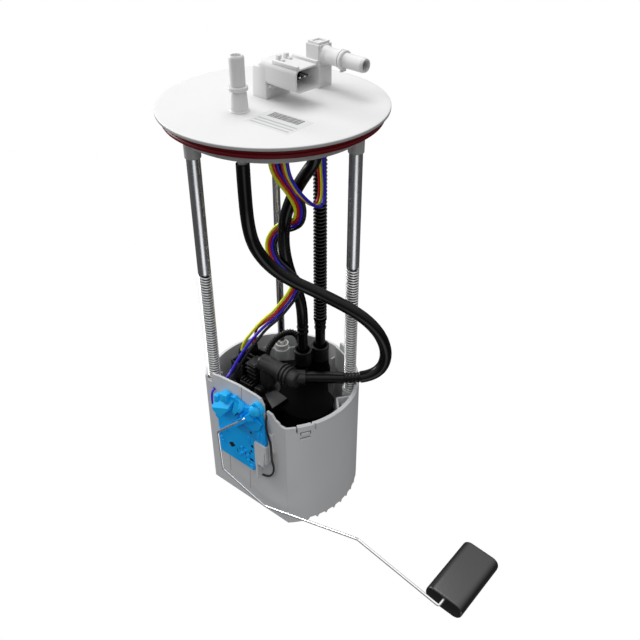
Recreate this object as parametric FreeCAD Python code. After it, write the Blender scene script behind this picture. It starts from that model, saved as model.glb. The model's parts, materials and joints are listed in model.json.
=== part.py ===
import FreeCAD, Part
import math
import os

# Fuel pump module of a tank. Millimetres, +Z up. The origin is the middle of the cup's base, on the floor.
# The cup's flat side, which carries the level sender, faces -Y.

# Overall layout
overall_height = 331.0       # floor to the cover's top face
cup_radius = 61.2
rod_inset = 7.2              # the three guide rods stand this far inside the cup's outer wall
spring_gap = 0.54            # left spring to the inside of the flat
rod_angle_right = 44.0
rod_angle_rear = 133.0
cover_travel = 45.0          # how far the cover can be pressed down
slide_clearance = 0.1        # a rod in its guide
fit_gap = 0.3                # between pieces that lie beside each other

# Cover, built outward from the cup that hangs below it
skirt_step = 1.8             # skirt outside the cup
seal_width = 8.8
rim_reach = 3.2              # rim outside the seal
cover_thickness = 2.3
skirt_wall = 2.6
skirt_depth = 12.5           # below the cover plate
cover_rib_height = 6.0
cover_rib_width = 1.8
cover_turn = -4.0            # the fittings on top are turned this much about Z
boss_top_radius = 6.0
boss_bottom_radius = 5.6
boss_depth = 33.7            # below the cover plate

# Seal
seal_height = 6.4
seal_seat_depth = 0.4        # recess in the cover plate that holds the seal's upper face
seal_seat_gap = 0.3

# Guide rods and springs
rod_radius = 4.75
lower_rod_radius = 3.0
rear_rod_radius = 2.9
sleeve_length = 123.0        # thick part of a rod, below the cover plate
spring_outer_radius = 4.55
spring_wire = 1.5
retainer_thickness = 1.3
retainer_rim = 1.1           # how far a retainer stands out from its rod
rod_tip = 2.0                # rod below its retainer

# Quick-connect pipe ends of 3/8 inch
pipe_radius = 4.745
pipe_bore_radius = 3.1
bead_radius = 6.22
bead_width = 2.7
nipple_x = -5.0
nipple_y = -25.5
nipple_height = 34.0
nipple_bead_height = 12.9
nipple_base_radius = 5.8
nipple_base_height = 11.0

# Electrical connector, in the turned frame of the fittings
pedestal_x = -18.0
pedestal_y = -2.2
pedestal_length = 13.0
pedestal_height = 19.9
pedestal_lean = 1.2          # slope of its back
hump_length = 8.5
gusset_size = 3.6
shell_length = 27.0
shell_width = 21.5
shell_lift = 9.5             # shell's underside above the cover
shell_height = 15.0
shell_wall = 1.3
shell_corner = 3.6
shell_depth = 17.0           # of the socket
rail_width = 2.2
rail_height = 1.6
blade_count = 4
blade_pitch = 4.0
blade_width = 1.5
blade_thickness = 0.8
blade_length = 12.0

# Elbow port
tower_x = -7.6
tower_size = 12.4
tower_y = 43.5               # its middle
tower_height = 14.0
elbow_axis_height = 21.0
elbow_block_top = 27.5
elbow_plate_height = 1.5
elbow_root_radius = 5.4
elbow_reach = 34.5           # from the block's face to the tip
elbow_bead_reach = 15.0
clip_width = 1.4
clip_drop = 1.9

# Reservoir cup
cup_wall = 2.0
cup_height = 104.8
cup_flat = 44.6              # from the axis to the outside of the flat
cup_floor_bottom = 4.0
cup_floor_thickness = 2.5
cup_skirt_bottom = 1.6
tooth_count = 46
tooth_width = 3.4
tooth_tip = 0.9
tooth_depth = 2.3
foot_radius = 11.0
foot_round = 3.0
base_pad_radius = 14.0

# Rod guides inside the cup
guide_top = 90.0
guide_radius = 5.9
guide_lip = 20.0             # length of the close bore at the top
guide_chamber_radius = 4.45
rear_post_radius = 6.8
rear_post_top = 94.0
bush_flange_height = 5.0
bush_radius = 4.4
bush_mouth_radius = 5.3

# Fuel pump, standing in its carrier
pump_x = -17.5
pump_y = -8.0
pump_bottom = 16.0
pump_can_height = 62.0
pump_can_radius = 19.0
pump_can_wall = 1.0
magnet_thickness = 2.6
air_gap = 0.8
armature_height = 28.0
shaft_radius = 2.0
impeller_thickness = 3.4
impeller_vanes = 24
inlet_cover_height = 6.0
outlet_cap_height = 12.0
spigot_dx = 3.5              # outlet spigot, from the pump's axis
spigot_dy = 5.5
spigot_radius = 4.0
spigot_height = 10.0
valve_bore_radius = 2.6
valve_lift = 2.0
carrier_wall = 1.7

# Filter
filter_x = 23.0
filter_y = 4.0
filter_radius = 20.5
filter_wall = 2.0
filter_bottom = 11.0

# Jet pump and pressure regulator, on the cup's floor
jet_x = 32.0
jet_y = -28.5
jet_length = 24.0

# Inlet valve in the floor
inlet_valve_y = -33.0
inlet_stem_radius = 1.6

# Module cap over pump and filter
cap_bottom = 86.0
cap_thickness = 3.0
cap_clearance = 0.8
socket_radius = 7.2
socket_wall = 1.9
socket_height = 24.0         # hose sockets above the cap
return_x = -4.5
return_y = 30.2
vapour_x = 2.5
vapour_y = 44.0

# Pressure head, a pipe across the cap
head_y = -2.5
head_z = 112.0
head_radius = 6.9
head_left = -20.5
head_right = 18.5
branch_x = 11.5              # where the supply hose's branch leaves
branch_angle = 39.5
branch_reach = 11.0
branch_radius = 3.0

# Hoses
supply_hose_radius = 4.3
return_hose_radius = 4.6
vapour_hose_radius = 4.8
cuff_radius = 4.1
cuff_top = 139.0
cuff_insert = 16.0           # cuff inside its socket
stub_radius = 3.2
plug_depth = 28.7            # plugs under the cover that the wires hang from
stub_depth = 32.7            # hose stubs under the cover
stub_insert = 10.0
bridge_radius = 3.0
wire_radius = 1.05
lead_radius = 0.85           # the sender's two short leads
wire_spacing = 2.4
loom_lean = 0.4              # the loom's middle, in spacings, away from the return hose

# Level sender
plate_left = -27.3
plate_bottom = 43.8
plate_right = 24.0
plate_thickness = 3.4
plate_gap = 0.3              # between sender and flat
arm_plane = -52.3            # Y of the float arm
arm_radius = 1.0
pivot_x = 17.0
pivot_z = 112.5
hub_radius = 4.4
hub_front = -52.8
hub_back = -49.0
rotor_thickness = 2.1        # of the rotor's plate behind the arm
grip_front = -53.6           # of the walls beside the arm
arm_rest_angle = 225.0       # the arm's upper run at rest, seen from the front
arm_swing = 60.0
stop_radius = 1.0
stop_front = -51.0
lug_angle = 100.0            # lug on the hub at rest
lug_reach = 6.8
stop_reach = 5.8             # second stop, from the pivot
card_x = -5.0
card_z = 80.0
card_width = 20.0
card_height = 13.0
card_thickness = 0.8

# Float
float_width = 29.6
float_length = 52.0
float_height = 14.2
float_near = -46.0           # Y of its near face
float_tilt = 5.9
float_drop = 3.9             # its middle below the wire
float_round = 4.5
float_bore_clearance = 0.08
float_hold = 38.0            # wire inside the float

# Routes of the hoses and wires, chosen by hand. Above route_low they stretch with the cover's height
route_low = 150.0
route_top = 300.0            # the plugs' lower end, as drawn
supply_route = [
    (-5.0, -25.5, 296.0), (-5.0, -25.5, 280.0), (-3.4, -26.0, 252.0), (-4.6, -19.6, 231.0),
    (0.8, -10.2, 213.0), (11.4, 0.8, 200.0), (24.6, 13.6, 189.5), (41.5, 25.4, 178.5),
    (54.5, 35.0, 167.0), (63.5, 41.8, 153.0), (68.0, 45.0, 137.5), (67.8, 42.6, 124.5),
    (62.0, 37.1, 116.0), (51.3, 27.8, 112.8),
]
return_route = [
    (17.0, 22.0, 296.0), (17.0, 22.0, 288.0), (9.5, 20.0, 277.0), (0.9, 18.1, 262.0),
    (-6.0, 16.6, 245.0), (-10.4, 17.4, 228.0), (-13.8, 20.8, 210.0), (-13.6, 24.6, 191.0),
    (-9.6, 28.4, 173.0), (-4.5, 30.2, 156.0), (-4.5, 30.2, 139.0),
]
bridge_route = [
    (-29.8, 12.0, 90.0), (-29.8, 12.0, 100.0), (-30.6, 15.5, 109.5), (-27.6, 25.5, 118.5),
    (-22.2, 36.0, 120.0), (-16.0, 39.2, 114.5), (-14.6, 38.4, 101.5), (-14.6, 38.4, 90.0),
]
loom_route = [
    (4.4, -4.4, 300.0), (4.4, -4.4, 289.0), (4.6, 4.0, 276.0), (6.8, 10.4, 266.0),
    (6.8, 18.6, 251.0), (3.4, 20.8, 238.0), (-7.0, 25.4, 228.5), (-19.6, 22.6, 222.5),
    (-23.6, 16.8, 212.0), (-17.4, 14.6, 200.0), (-6.4, 17.4, 191.5), (-0.6, 22.2, 184.0),
    (-3.0, 20.6, 174.0), (-8.6, 17.6, 163.0), (-14.0, 10.8, 152.5), (-20.0, 2.2, 145.0),
]
black_end = [(-21.5, -6.0, 134.0), (-27.0, -14.0, 121.0), (-31.0, -24.0, 106.0), (-30.6, -33.4, 95.6),
             (-27.0, -39.2, 92.6)]
blue_end = [(-24.5, -5.5, 136.5), (-30.6, -15.0, 122.0), (-33.4, -26.4, 107.0), (-33.0, -35.0, 104.4),
            (-32.6, -42.3, 104.0)]
yellow_end = [(-28.0, -4.4, 138.5), (-35.6, -5.6, 127.0), (-40.4, -5.6, 114.0), (-40.4, -5.6, 106.0)]
red_end = [(-29.0, 2.0, 139.0), (-36.0, 7.6, 126.0), (-39.4, 9.4, 114.0), (-39.4, 9.4, 106.0)]
jumper_route = [
    (12.0, -4.4, 300.0), (12.0, -4.4, 289.0), (12.2, 4.2, 273.0), (14.4, 12.6, 261.5),
    (15.4, 22.0, 253.0), (15.6, 28.6, 252.6), (14.4, 32.4, 263.0), (12.2, 32.8, 282.0),
    (12.2, 32.8, 300.0),
]
sender_blue_route = [(-32.6, -44.3, 104.0), (-32.6, -46.6, 103.8), (-32.2, -48.2, 100.6),
                     (-31.8, -48.8, 96.4), (-31.8, -48.8, 92.0)]
sender_black_route = [
    (-27.0, -40.6, 92.4), (-14.0, -40.4, 94.6), (2.0, -40.4, 98.4), (14.0, -40.2, 101.8),
    (21.4, -40.6, 104.0), (22.8, -44.6, 105.2), (24.8, -47.0, 101.6), (25.4, -47.6, 96.0),
    (28.0, -47.75, 88.6), (29.4, -47.75, 83.0), (29.4, -47.75, 74.0), (30.0, -47.75, 66.0),
    (31.0, -46.8, 59.0), (29.0, -46.8, 50.5), (23.4, -47.0, 44.4), (18.2, -47.0, 43.8),
]
arm_points = [(7.1, 100.2), (-24.5, 68.6), (-22.7, 27.8), (23.9, 15.5), (116.9, 47.1), (187.7, 32.5)]
arm_bend = 3.0               # bend radius of the float arm

# Values worked out from the sizes above
rod_ring_radius = cup_radius - rod_inset
skirt_radius = cup_radius + skirt_step
seal_outer_radius = skirt_radius + seal_width
cover_radius = seal_outer_radius + rim_reach
plate_z = overall_height - cover_thickness
plug_bottom = plate_z - plug_depth
stub_end = plate_z - stub_depth
skirt_bottom = plate_z - skirt_depth
boss_bottom = plate_z - boss_depth
spring_top = plate_z - sleeve_length
floor_top = cup_floor_bottom + cup_floor_thickness
cup_inner_radius = cup_radius - cup_wall
cup_inner_flat = -cup_flat + cup_wall
flat_y = -cup_flat
lip_bottom = guide_top - guide_lip
cap_top = cap_bottom + cap_thickness
pump_top = pump_bottom + pump_can_height
spigot_x = pump_x + spigot_dx
spigot_y = pump_y + spigot_dy
outlet_top = pump_top + outlet_cap_height
spigot_top = outlet_top + spigot_height
sender_back = flat_y - plate_gap
sender_front = sender_back - plate_thickness


def vector(x, y, z):
    return FreeCAD.Vector(x, y, z)


def on_ring(radius, degrees):
    return radius * math.cos(math.radians(degrees)), radius * math.sin(math.radians(degrees))


left_y = -(cup_flat - cup_wall - spring_outer_radius - spring_gap)
left_x = -math.sqrt(rod_ring_radius ** 2 - left_y ** 2)
right_x, right_y = on_ring(rod_ring_radius, rod_angle_right)
rear_x, rear_y = on_ring(rod_ring_radius, rod_angle_rear)


def rod(radius, low, high, x=0.0, y=0.0):
    """A vertical cylinder."""
    return Part.makeCylinder(radius, high - low, vector(x, y, low))


def tube(outer, inner, low, high, x=0.0, y=0.0):
    return rod(outer, low, high, x, y).cut(rod(inner, low - 1, high + 1, x, y))


def block(x0, x1, y0, y1, z0, z1):
    return Part.makeBox(x1 - x0, y1 - y0, z1 - z0, vector(x0, y0, z0))


def turned_profile(outline, x=0.0, y=0.0):
    """Solid of revolution about a vertical axis. outline is a list of (radius, height)."""
    points = [vector(r, 0, z) for r, z in outline]
    face = Part.Face(Part.makePolygon(points + points[:1]))
    solid = face.revolve(vector(0, 0, 0), vector(0, 0, 1), 360)
    solid.translate(vector(x, y, 0))
    return solid


def panel(outline, y0, y1):
    """A plate parallel to the flat. outline is a list of (x, z)."""
    points = [vector(x, y0, z) for x, z in outline]
    face = Part.Face(Part.makePolygon(points + points[:1]))
    return face.extrude(vector(0, y1 - y0, 0))


def slab(outline, z0, z1):
    """A plate parallel to the floor. outline is a list of (x, y)."""
    points = [vector(x, y, z0) for x, y in outline]
    face = Part.Face(Part.makePolygon(points + points[:1]))
    return face.extrude(vector(0, 0, z1 - z0))


def joined(pieces):
    solid = pieces[0].multiFuse(pieces[1:]) if len(pieces) > 1 else pieces[0]
    return solid.removeSplitter()


def without(solid, tools):
    return solid.cut(tools) if isinstance(tools, list) else solid.cut([tools])


def rounded(solid, radius, wanted):
    """Fillets the edges that wanted(edge) picks."""
    return solid.makeFillet(radius, [e for e in solid.Edges if wanted(e)])


def about_z(solid, degrees):
    solid = solid.copy()
    solid.rotate(vector(0, 0, 0), vector(0, 0, 1), degrees)
    return solid


def along(axis, length, radius, start):
    return Part.makeCylinder(radius, length, start, axis)


def save(name, shape):
    shape.exportStep("parts/" + name + ".step")
    print(name, "solids", len(shape.Solids), "volume", round(shape.Volume, 1))


# Cords

def smooth_path(points, share=0.45):
    """Straight runs joined by tangent arcs, each as large as its two runs allow."""
    corners = [vector(*p) for p in points]
    edges = []
    radii = []
    start = corners[0]
    for before, corner, after in zip(corners, corners[1:], corners[2:]):
        back = (before - corner).normalize()
        ahead = (after - corner).normalize()
        half_turn = (math.pi - back.getAngle(ahead)) / 2
        reach = share * min((before - corner).Length, (after - corner).Length)
        radius = reach / math.tan(half_turn)
        radii.append(radius)
        arc_start = corner + back * reach
        arc_end = corner + ahead * reach
        to_middle = (back + ahead).normalize()
        middle = corner + to_middle * (radius / math.cos(half_turn) - radius)
        edges.append(Part.LineSegment(start, arc_start).toShape())
        edges.append(Part.Arc(arc_start, middle, arc_end).toShape())
        start = arc_end
    edges.append(Part.LineSegment(start, corners[-1]).toShape())
    return Part.Wire(edges), radii


def fitted(points):
    """The route with its upper part moved, so that it ends at the plugs under the cover."""
    share = (plug_bottom - route_low) / (route_top - route_low)
    return [(x, y, z if z < route_low else route_low + (z - route_low) * share) for x, y, z in points]


def cord(name, points, radius):
    points = fitted(points)
    path, radii = smooth_path(points)
    first = vector(*points[1]) - vector(*points[0])
    section = Part.Wire(Part.makeCircle(radius, vector(*points[0]), first))
    solid = path.makePipeShell([section], True, False)
    expected = math.pi * radius ** 2 * path.Length
    print(name, "length", round(path.Length, 1), "smallest radius",
          round(min(radii), 1) if radii else "none",
          "volume share", round(solid.Volume / expected, 4))
    return solid


def beside(points, side):
    """The route again, moved sideways across its own direction. An upright end run stays upright."""
    corners = [vector(*p) for p in points]
    reference = vector(0.35, -0.55, 0.2)
    moved = []
    last = len(corners) - 1
    for i, corner in enumerate(corners):
        ahead = corners[min(i + 1, last)] - corners[max(i - 1, 0)]
        across = ahead.cross(reference).normalize()
        place = corner + across * side
        moved.append((place.x, place.y, place.z))
    for end, neighbour in ((0, 1), (last, last - 1)):
        if points[end][:2] == points[neighbour][:2]:
            moved[end] = (moved[neighbour][0], moved[neighbour][1], points[end][2])
    return moved


# Cover and its fittings

def pipe_end(base_radius, base_height, bead_height, height):
    """A quick-connect pipe end standing on the origin, with its bead and a chamfered tip."""
    tip = 1.6
    outline = [
        (0, 0), (base_radius, 0), (pipe_radius, base_height), (pipe_radius, bead_height),
        (bead_radius - 0.6, bead_height), (bead_radius, bead_height + 0.6),
        (bead_radius, bead_height + bead_width - 0.6), (bead_radius - 0.6, bead_height + bead_width),
        (pipe_radius, bead_height + bead_width), (pipe_radius, height - tip),
        (pipe_radius - 0.6, height), (0, height),
    ]
    return turned_profile(outline)


def make_cover():
    plate = rod(cover_radius, plate_z, overall_height)
    plate = rounded(plate, 0.6, lambda e: e.Length > cover_radius)
    skirt = tube(skirt_radius, skirt_radius - skirt_wall, skirt_bottom, plate_z)
    pieces = [plate, skirt]
    for x, y in ((left_x, left_y), (right_x, right_y), (rear_x, rear_y)):
        boss = Part.makeCone(boss_bottom_radius, boss_top_radius, boss_depth, vector(x, y, boss_bottom))
        pieces.append(boss)
    inner = skirt_radius - skirt_wall / 2
    ring = tube(24.0 + cover_rib_width, 24.0, plate_z - cover_rib_height, plate_z)
    pieces.append(ring)
    for degrees in (0, 90, 180, 270):
        rib = block(24.5, inner, -cover_rib_width / 2, cover_rib_width / 2, plate_z - cover_rib_height,
                    plate_z)
        pieces.append(about_z(rib, degrees + 15))
    nipple = pipe_end(nipple_base_radius, nipple_base_height, nipple_bead_height, nipple_height)
    nipple.translate(vector(nipple_x, nipple_y, overall_height))
    pieces.append(nipple)
    pieces.append(about_z(make_pedestal(), cover_turn))
    pieces.append(about_z(make_tower(), cover_turn))
    for x, y in stub_places():
        pieces.append(rod(5.4, stub_end + stub_insert, plate_z, x, y))
        pieces.append(rod(stub_radius, stub_end, plate_z, x, y))
    solid = joined(pieces)
    bores = [rod(pipe_bore_radius, overall_height - 14, overall_height + nipple_height + 1, nipple_x,
                 nipple_y)]
    bores.append(about_z(rod(pipe_bore_radius, overall_height - 1, overall_height + 60,
                             tower_x + tower_size / 2, tower_y), cover_turn))
    for x, y in ((left_x, left_y), (right_x, right_y)):
        bores.append(rod(rod_radius, boss_bottom - 1, plate_z - 4, x, y))
    bores.append(rod(rear_rod_radius, boss_bottom - 1, plate_z - 4, rear_x, rear_y))
    bores.append(tube(seal_outer_radius + seal_seat_gap, skirt_radius, plate_z - 1,
                      plate_z + seal_seat_depth))
    return without(solid, bores)


def stub_places():
    return [(nipple_x, nipple_y), return_route[0][:2], (vapour_x, vapour_y)]


def make_pedestal():
    """Block that carries the connector, with a rounded hump behind the shell and a gusset under it."""
    top = overall_height + pedestal_height
    shell_x, y0, shell_z = shell_origin()
    y1 = y0 + shell_width
    outline = [
        (pedestal_x, overall_height - 0.5), (pedestal_x + pedestal_lean, top - 1.0),
        (pedestal_x + pedestal_lean + 1.0, top), (shell_x, top), (shell_x, overall_height - 0.5),
    ]
    body = panel(outline, y0, y1)
    hump = block(shell_x - hump_length, shell_x, y0, y1, shell_z, shell_z + shell_height)
    hump = rounded(hump, shell_corner, lambda e: abs(e.tangentAt(e.FirstParameter).x) > 0.99
                   or (e.BoundBox.XMax < shell_x - hump_length + 0.01 and e.BoundBox.ZMin > shell_z + 1.0
                       and abs(e.tangentAt(e.FirstParameter).y) > 0.99))
    gusset = panel([(shell_x - 0.5, shell_z - gusset_size), (shell_x, shell_z - gusset_size),
                    (shell_x + gusset_size, shell_z), (shell_x - 0.5, shell_z)], y0 + 2.0, y1 - 2.0)
    return joined([body, hump, gusset])


def shell_origin():
    return pedestal_x + pedestal_length, pedestal_y + 1.0, overall_height + shell_lift


def make_connector_shell():
    x0, y0, z0 = shell_origin()
    body = block(x0, x0 + shell_length, y0, y0 + shell_width, z0, z0 + shell_height)
    body = rounded(body, shell_corner, lambda e: abs(e.tangentAt(e.FirstParameter).x) > 0.99)
    cavity = block(x0 + shell_length - shell_depth, x0 + shell_length + 1, y0 + shell_wall,
                   y0 + shell_width - shell_wall,
                   z0 + shell_wall, z0 + shell_height - shell_wall)
    cavity = rounded(cavity, shell_corner - shell_wall,
                     lambda e: abs(e.tangentAt(e.FirstParameter).x) > 0.99)
    rails = []
    for y in (y0 + 1.2, y0 + shell_width - 1.2 - rail_width):
        rails.append(block(x0 + 5.0, x0 + shell_length, y, y + rail_width,
                           z0 + shell_height - 0.6, z0 + shell_height + rail_height))
    for y in (y0 + shell_width / 2 - 4.0, y0 + shell_width / 2 + 2.6):
        rails.append(block(x0 + 3.0, x0 + 6.0, y, y + 1.6, z0 + shell_height - 0.6,
                           z0 + shell_height + 3.4))
    return without(joined([body] + rails), cavity)


def make_connector_pins():
    x0, y0, z0 = shell_origin()
    back = x0 + shell_length - shell_depth
    first = y0 + shell_width / 2 - blade_pitch * (blade_count - 1) / 2
    middle = z0 + shell_height / 2
    blades = []
    for i in range(blade_count):
        y = first + blade_pitch * i
        blades.append(block(back, back + blade_length, y - blade_width / 2, y + blade_width / 2,
                            middle - blade_thickness / 2, middle + blade_thickness / 2))
    return Part.makeCompound(blades)


def make_tower():
    y0 = tower_y - tower_size / 2
    body = block(tower_x, tower_x + tower_size, y0, y0 + tower_size, overall_height - 0.5,
                 overall_height + tower_height)
    return rounded(body, 1.0, lambda e: abs(e.tangentAt(e.FirstParameter).z) > 0.99)


def make_elbow():
    """Elbow that sits on the tower: a square block with a raised bezel and a pipe end along +X."""
    y0 = tower_y - tower_size / 2
    low = overall_height + tower_height
    high = overall_height + elbow_block_top
    body = block(tower_x, tower_x + tower_size, y0, y0 + tower_size, low, high)
    body = rounded(body, 1.0, lambda e: abs(e.tangentAt(e.FirstParameter).z) > 0.99)
    bezel = block(tower_x + 1.2, tower_x + tower_size - 1.2, y0 + 1.2, y0 + tower_size - 1.2,
                  high - 0.5, high + elbow_plate_height)
    dish = block(tower_x + 3.0, tower_x + tower_size - 3.0, y0 + 3.0, y0 + tower_size - 3.0,
                 high + 0.6, high + elbow_plate_height + 1)
    pipe = pipe_end(elbow_root_radius, 0.8, elbow_bead_reach, elbow_reach)
    sleeve = turned_profile([(0, 0), (elbow_root_radius + 0.8, 0), (elbow_root_radius, 4.0),
                             (elbow_root_radius, elbow_bead_reach), (0, elbow_bead_reach)])
    bore = rod(pipe_bore_radius, -tower_size / 2, elbow_reach + 1)
    parts = []
    for piece in (pipe, sleeve, bore):
        piece.rotate(vector(0, 0, 0), vector(0, 1, 0), 90)
        piece.translate(vector(tower_x + tower_size, tower_y, overall_height + elbow_axis_height))
        parts.append(piece)
    riser = rod(pipe_bore_radius, low - 1, overall_height + elbow_axis_height, tower_x + tower_size / 2,
                tower_y)
    return without(joined([body, without(bezel, dish), parts[0], parts[1]]), [parts[2], riser])


def make_elbow_clip():
    """Clip behind the elbow's bead: a collar and the small foot that hangs below it."""
    x0 = tower_x + tower_size + elbow_bead_reach - clip_width
    axis = overall_height + elbow_axis_height
    collar = along(vector(1, 0, 0), clip_width, bead_radius, vector(x0, tower_y, axis))
    foot = block(x0, x0 + clip_width, tower_y - 1.2, tower_y + 3.4, axis - bead_radius - clip_drop, axis)
    hole = along(vector(1, 0, 0), 5.0, elbow_root_radius + 0.02, vector(x0 - 1, tower_y, axis))
    slot = block(x0 - 1, x0 + 4, tower_y - 4.6, tower_y - 2.6, axis - 20, axis)
    return without(joined([collar, foot]), [hole, slot])


def make_seal():
    """Ring seal under the cover's rim, with two bulged lips."""
    inner = skirt_radius + 0.2
    outer = seal_outer_radius
    low = plate_z - seal_height
    middle = plate_z - seal_height / 2
    high = plate_z + seal_seat_depth
    outline = [
        (inner, low), (outer - 1.6, low), (outer - 0.4, low + 0.8), (outer, low + 1.9),
        (outer - 1.0, middle),
        (outer, high - 1.9), (outer - 0.4, high - 0.8), (outer - 1.6, high), (inner, high),
    ]
    return turned_profile(outline)


# Rods, springs and retainers

def make_spring_rod(x, y):
    """Thick chrome sleeve from its boss down to the spring, then the slimmer rod through spring and guide."""
    low = lip_bottom - retainer_thickness - fit_gap - rod_tip
    outline = [
        (0, low), (lower_rod_radius - 0.6, low), (lower_rod_radius, low + 0.6),
        (lower_rod_radius, spring_top),
        (rod_radius - 0.5, spring_top), (rod_radius, spring_top + 0.5), (rod_radius, plate_z - 4),
        (0, plate_z - 4),
    ]
    return turned_profile(outline, x, y)


def rear_rod_low():
    return rear_post_top - guide_lip - retainer_thickness - fit_gap - rod_tip


def make_rear_rod():
    low = rear_rod_low()
    outline = [
        (0, low), (rear_rod_radius - 0.6, low), (rear_rod_radius, low + 0.6),
        (rear_rod_radius, plate_z - 4), (0, plate_z - 4),
    ]
    return turned_profile(outline, rear_x, rear_y)


def make_retainers():
    rings = []
    for x, y in ((left_x, left_y), (right_x, right_y)):
        top = lip_bottom - fit_gap
        rings.append(tube(lower_rod_radius + retainer_rim, lower_rod_radius, top - retainer_thickness, top,
                          x, y))
    return Part.makeCompound(rings)


def make_rear_retainer():
    top = rear_post_top - guide_lip - fit_gap
    return tube(rear_rod_radius + retainer_rim, rear_rod_radius, top - retainer_thickness, top, rear_x,
                rear_y)


def make_spring(x, y):
    """Outer shape of the coil spring between the rod's sleeve and the guide."""
    return tube(spring_outer_radius, spring_outer_radius - spring_wire, guide_top, spring_top, x, y)


# Reservoir cup

def d_section(radius, flat, z0, z1):
    """A disc with one flat side."""
    return rod(radius, z0, z1).common(block(-radius - 1, radius + 1, flat, radius + 1, z0, z1))


def make_panel_outline():
    """Top of the sender panel on the flat, as (x, z)."""
    half = math.sqrt(cup_radius ** 2 - cup_flat ** 2)
    rises = [(-half, 8.2), (-40.6, 5.4), (-35.2, 4.6), (-34.2, 13.6), (-26.0, 15.2), (-5.0, 17.2),
             (12.0, 16.8),
             (17.6, 16.0), (20.5, 10.7)]
    low = cup_height - 12
    return [(-half, low)] + [(x, cup_height + rise) for x, rise in rises] + [(20.5, low)]


def make_cup():
    outer = d_section(cup_radius, flat_y, cup_skirt_bottom, cup_height)
    inner = d_section(cup_inner_radius, cup_inner_flat, floor_top, cup_height + 1)
    under = d_section(cup_inner_radius, cup_inner_flat, cup_skirt_bottom - 1, cup_floor_bottom)
    shell = without(outer, [inner, under])
    pieces = [shell]
    pieces.append(panel(make_panel_outline(), flat_y, cup_inner_flat))
    tab = [(23.5, -12), (23.5, 7.2), (28.5, 6.6), (31.5, 2.8), (35.0, 1.6), (36.5, -0.8), (36.5, -12)]
    tab = [(x, cup_height + rise) for x, rise in tab]
    pieces.append(panel(tab, flat_y, cup_inner_flat))
    for low_angle, high_angle, rise in ((214.0, 227.0, 7.7), (66.0, 78.0, 6.2)):
        pieces.append(wall_stretch(low_angle, high_angle, cup_height - 2, cup_height + rise))
    for x, y in ((left_x, left_y), (right_x, right_y)):
        pieces.append(guide_post(guide_radius, guide_top, x, y))
    pieces.append(guide_post(rear_post_radius, rear_post_top, rear_x, rear_y))
    pieces += rear_gussets()
    pieces += wall_ribs()
    pieces += feet()
    pieces.append(rod(base_pad_radius, 0.0, cup_floor_bottom + 0.5))
    pieces += sender_clips()
    solid = joined(pieces)
    cuts = guide_bores()
    cuts += inlet_holes()
    cuts += rim_slots()
    cuts += lead_holes()
    return without(solid, cuts + teeth_gaps())


def wall_stretch(low_angle, high_angle, z0, z1):
    ring = Part.makeCylinder(cup_radius, z1 - z0, vector(0, 0, z0), vector(0, 0, 1), high_angle - low_angle)
    core = Part.makeCylinder(cup_inner_radius, z1 - z0, vector(0, 0, z0), vector(0, 0, 1),
                             high_angle - low_angle)
    stretch = about_z(ring.cut(core), low_angle)
    return stretch.common(block(-90, 90, flat_y, 90, z0, z1))


def guide_post(radius, top, x, y):
    """Guide tube that grows out of the cup's wall and floor."""
    post = rod(radius, floor_top - 0.5, top, x, y)
    return post.common(d_section(cup_radius - 0.5, flat_y + 0.5, floor_top - 0.5, top))


def rear_gussets():
    """Two wings that hold the rear guide to the wall."""
    wings = []
    for turn in (-1, 1):
        degrees = rod_angle_rear + turn * 17.0
        wx, wy = on_ring(cup_inner_radius + 0.5, degrees)
        outline = [vector(rear_x, rear_y, 60.0), vector(wx, wy, 84.0), vector(wx, wy, rear_post_top - 1.5),
                   vector(rear_x, rear_y, rear_post_top - 1.5)]
        face = Part.Face(Part.makePolygon(outline + outline[:1]))
        normal = face.normalAt(0, 0)
        face.translate(normal * -0.8)
        wings.append(face.extrude(normal * 1.6))
    return wings


def wall_ribs():
    """Folded stiffening rib on the right wall and plain fins round the cup."""
    top = 93.0
    ribs = []
    for degrees in (84.0, 158.0, 178.0, 198.0):
        fin = block(cup_inner_radius - 4.0, cup_inner_radius + 0.5, -0.7, 0.7, floor_top - 0.5, top)
        ribs.append(about_z(fin, degrees))
    fold = [(cup_inner_radius + 0.5, 1.0), (51.5, 4.0), (54.5, 11.0), (48.5, 15.0), (51.0, 22.0),
            (54.8, 24.4)]
    thickness = 1.4
    for (x0, y0), (x1, y1) in zip(fold, fold[1:]):
        length = math.hypot(x1 - x0, y1 - y0)
        leaf = block(-thickness / 2, length + thickness / 2, -thickness / 2, thickness / 2,
                     floor_top - 0.5, top)
        leaf.rotate(vector(0, 0, 0), vector(0, 0, 1), math.degrees(math.atan2(y1 - y0, x1 - x0)))
        leaf.translate(vector(x0, y0, 0))
        ribs.append(leaf.common(rod(cup_inner_radius + 1.0, floor_top - 0.5, top)))
    return ribs


def feet():
    lobes = []
    for x, y in ((-31.0, -35.5), (34.0, -35.5), (0.0, 49.5)):
        lobe = rod(foot_radius, 0.0, floor_top - 1.0, x, y)
        lobe = lobe.common(d_section(cup_radius - 0.05, flat_y + 0.05, -1.0, floor_top - 1.0))
        lobes.append(rounded(lobe, foot_round, lambda e: e.BoundBox.ZMax < 0.01))
    return lobes


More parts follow.
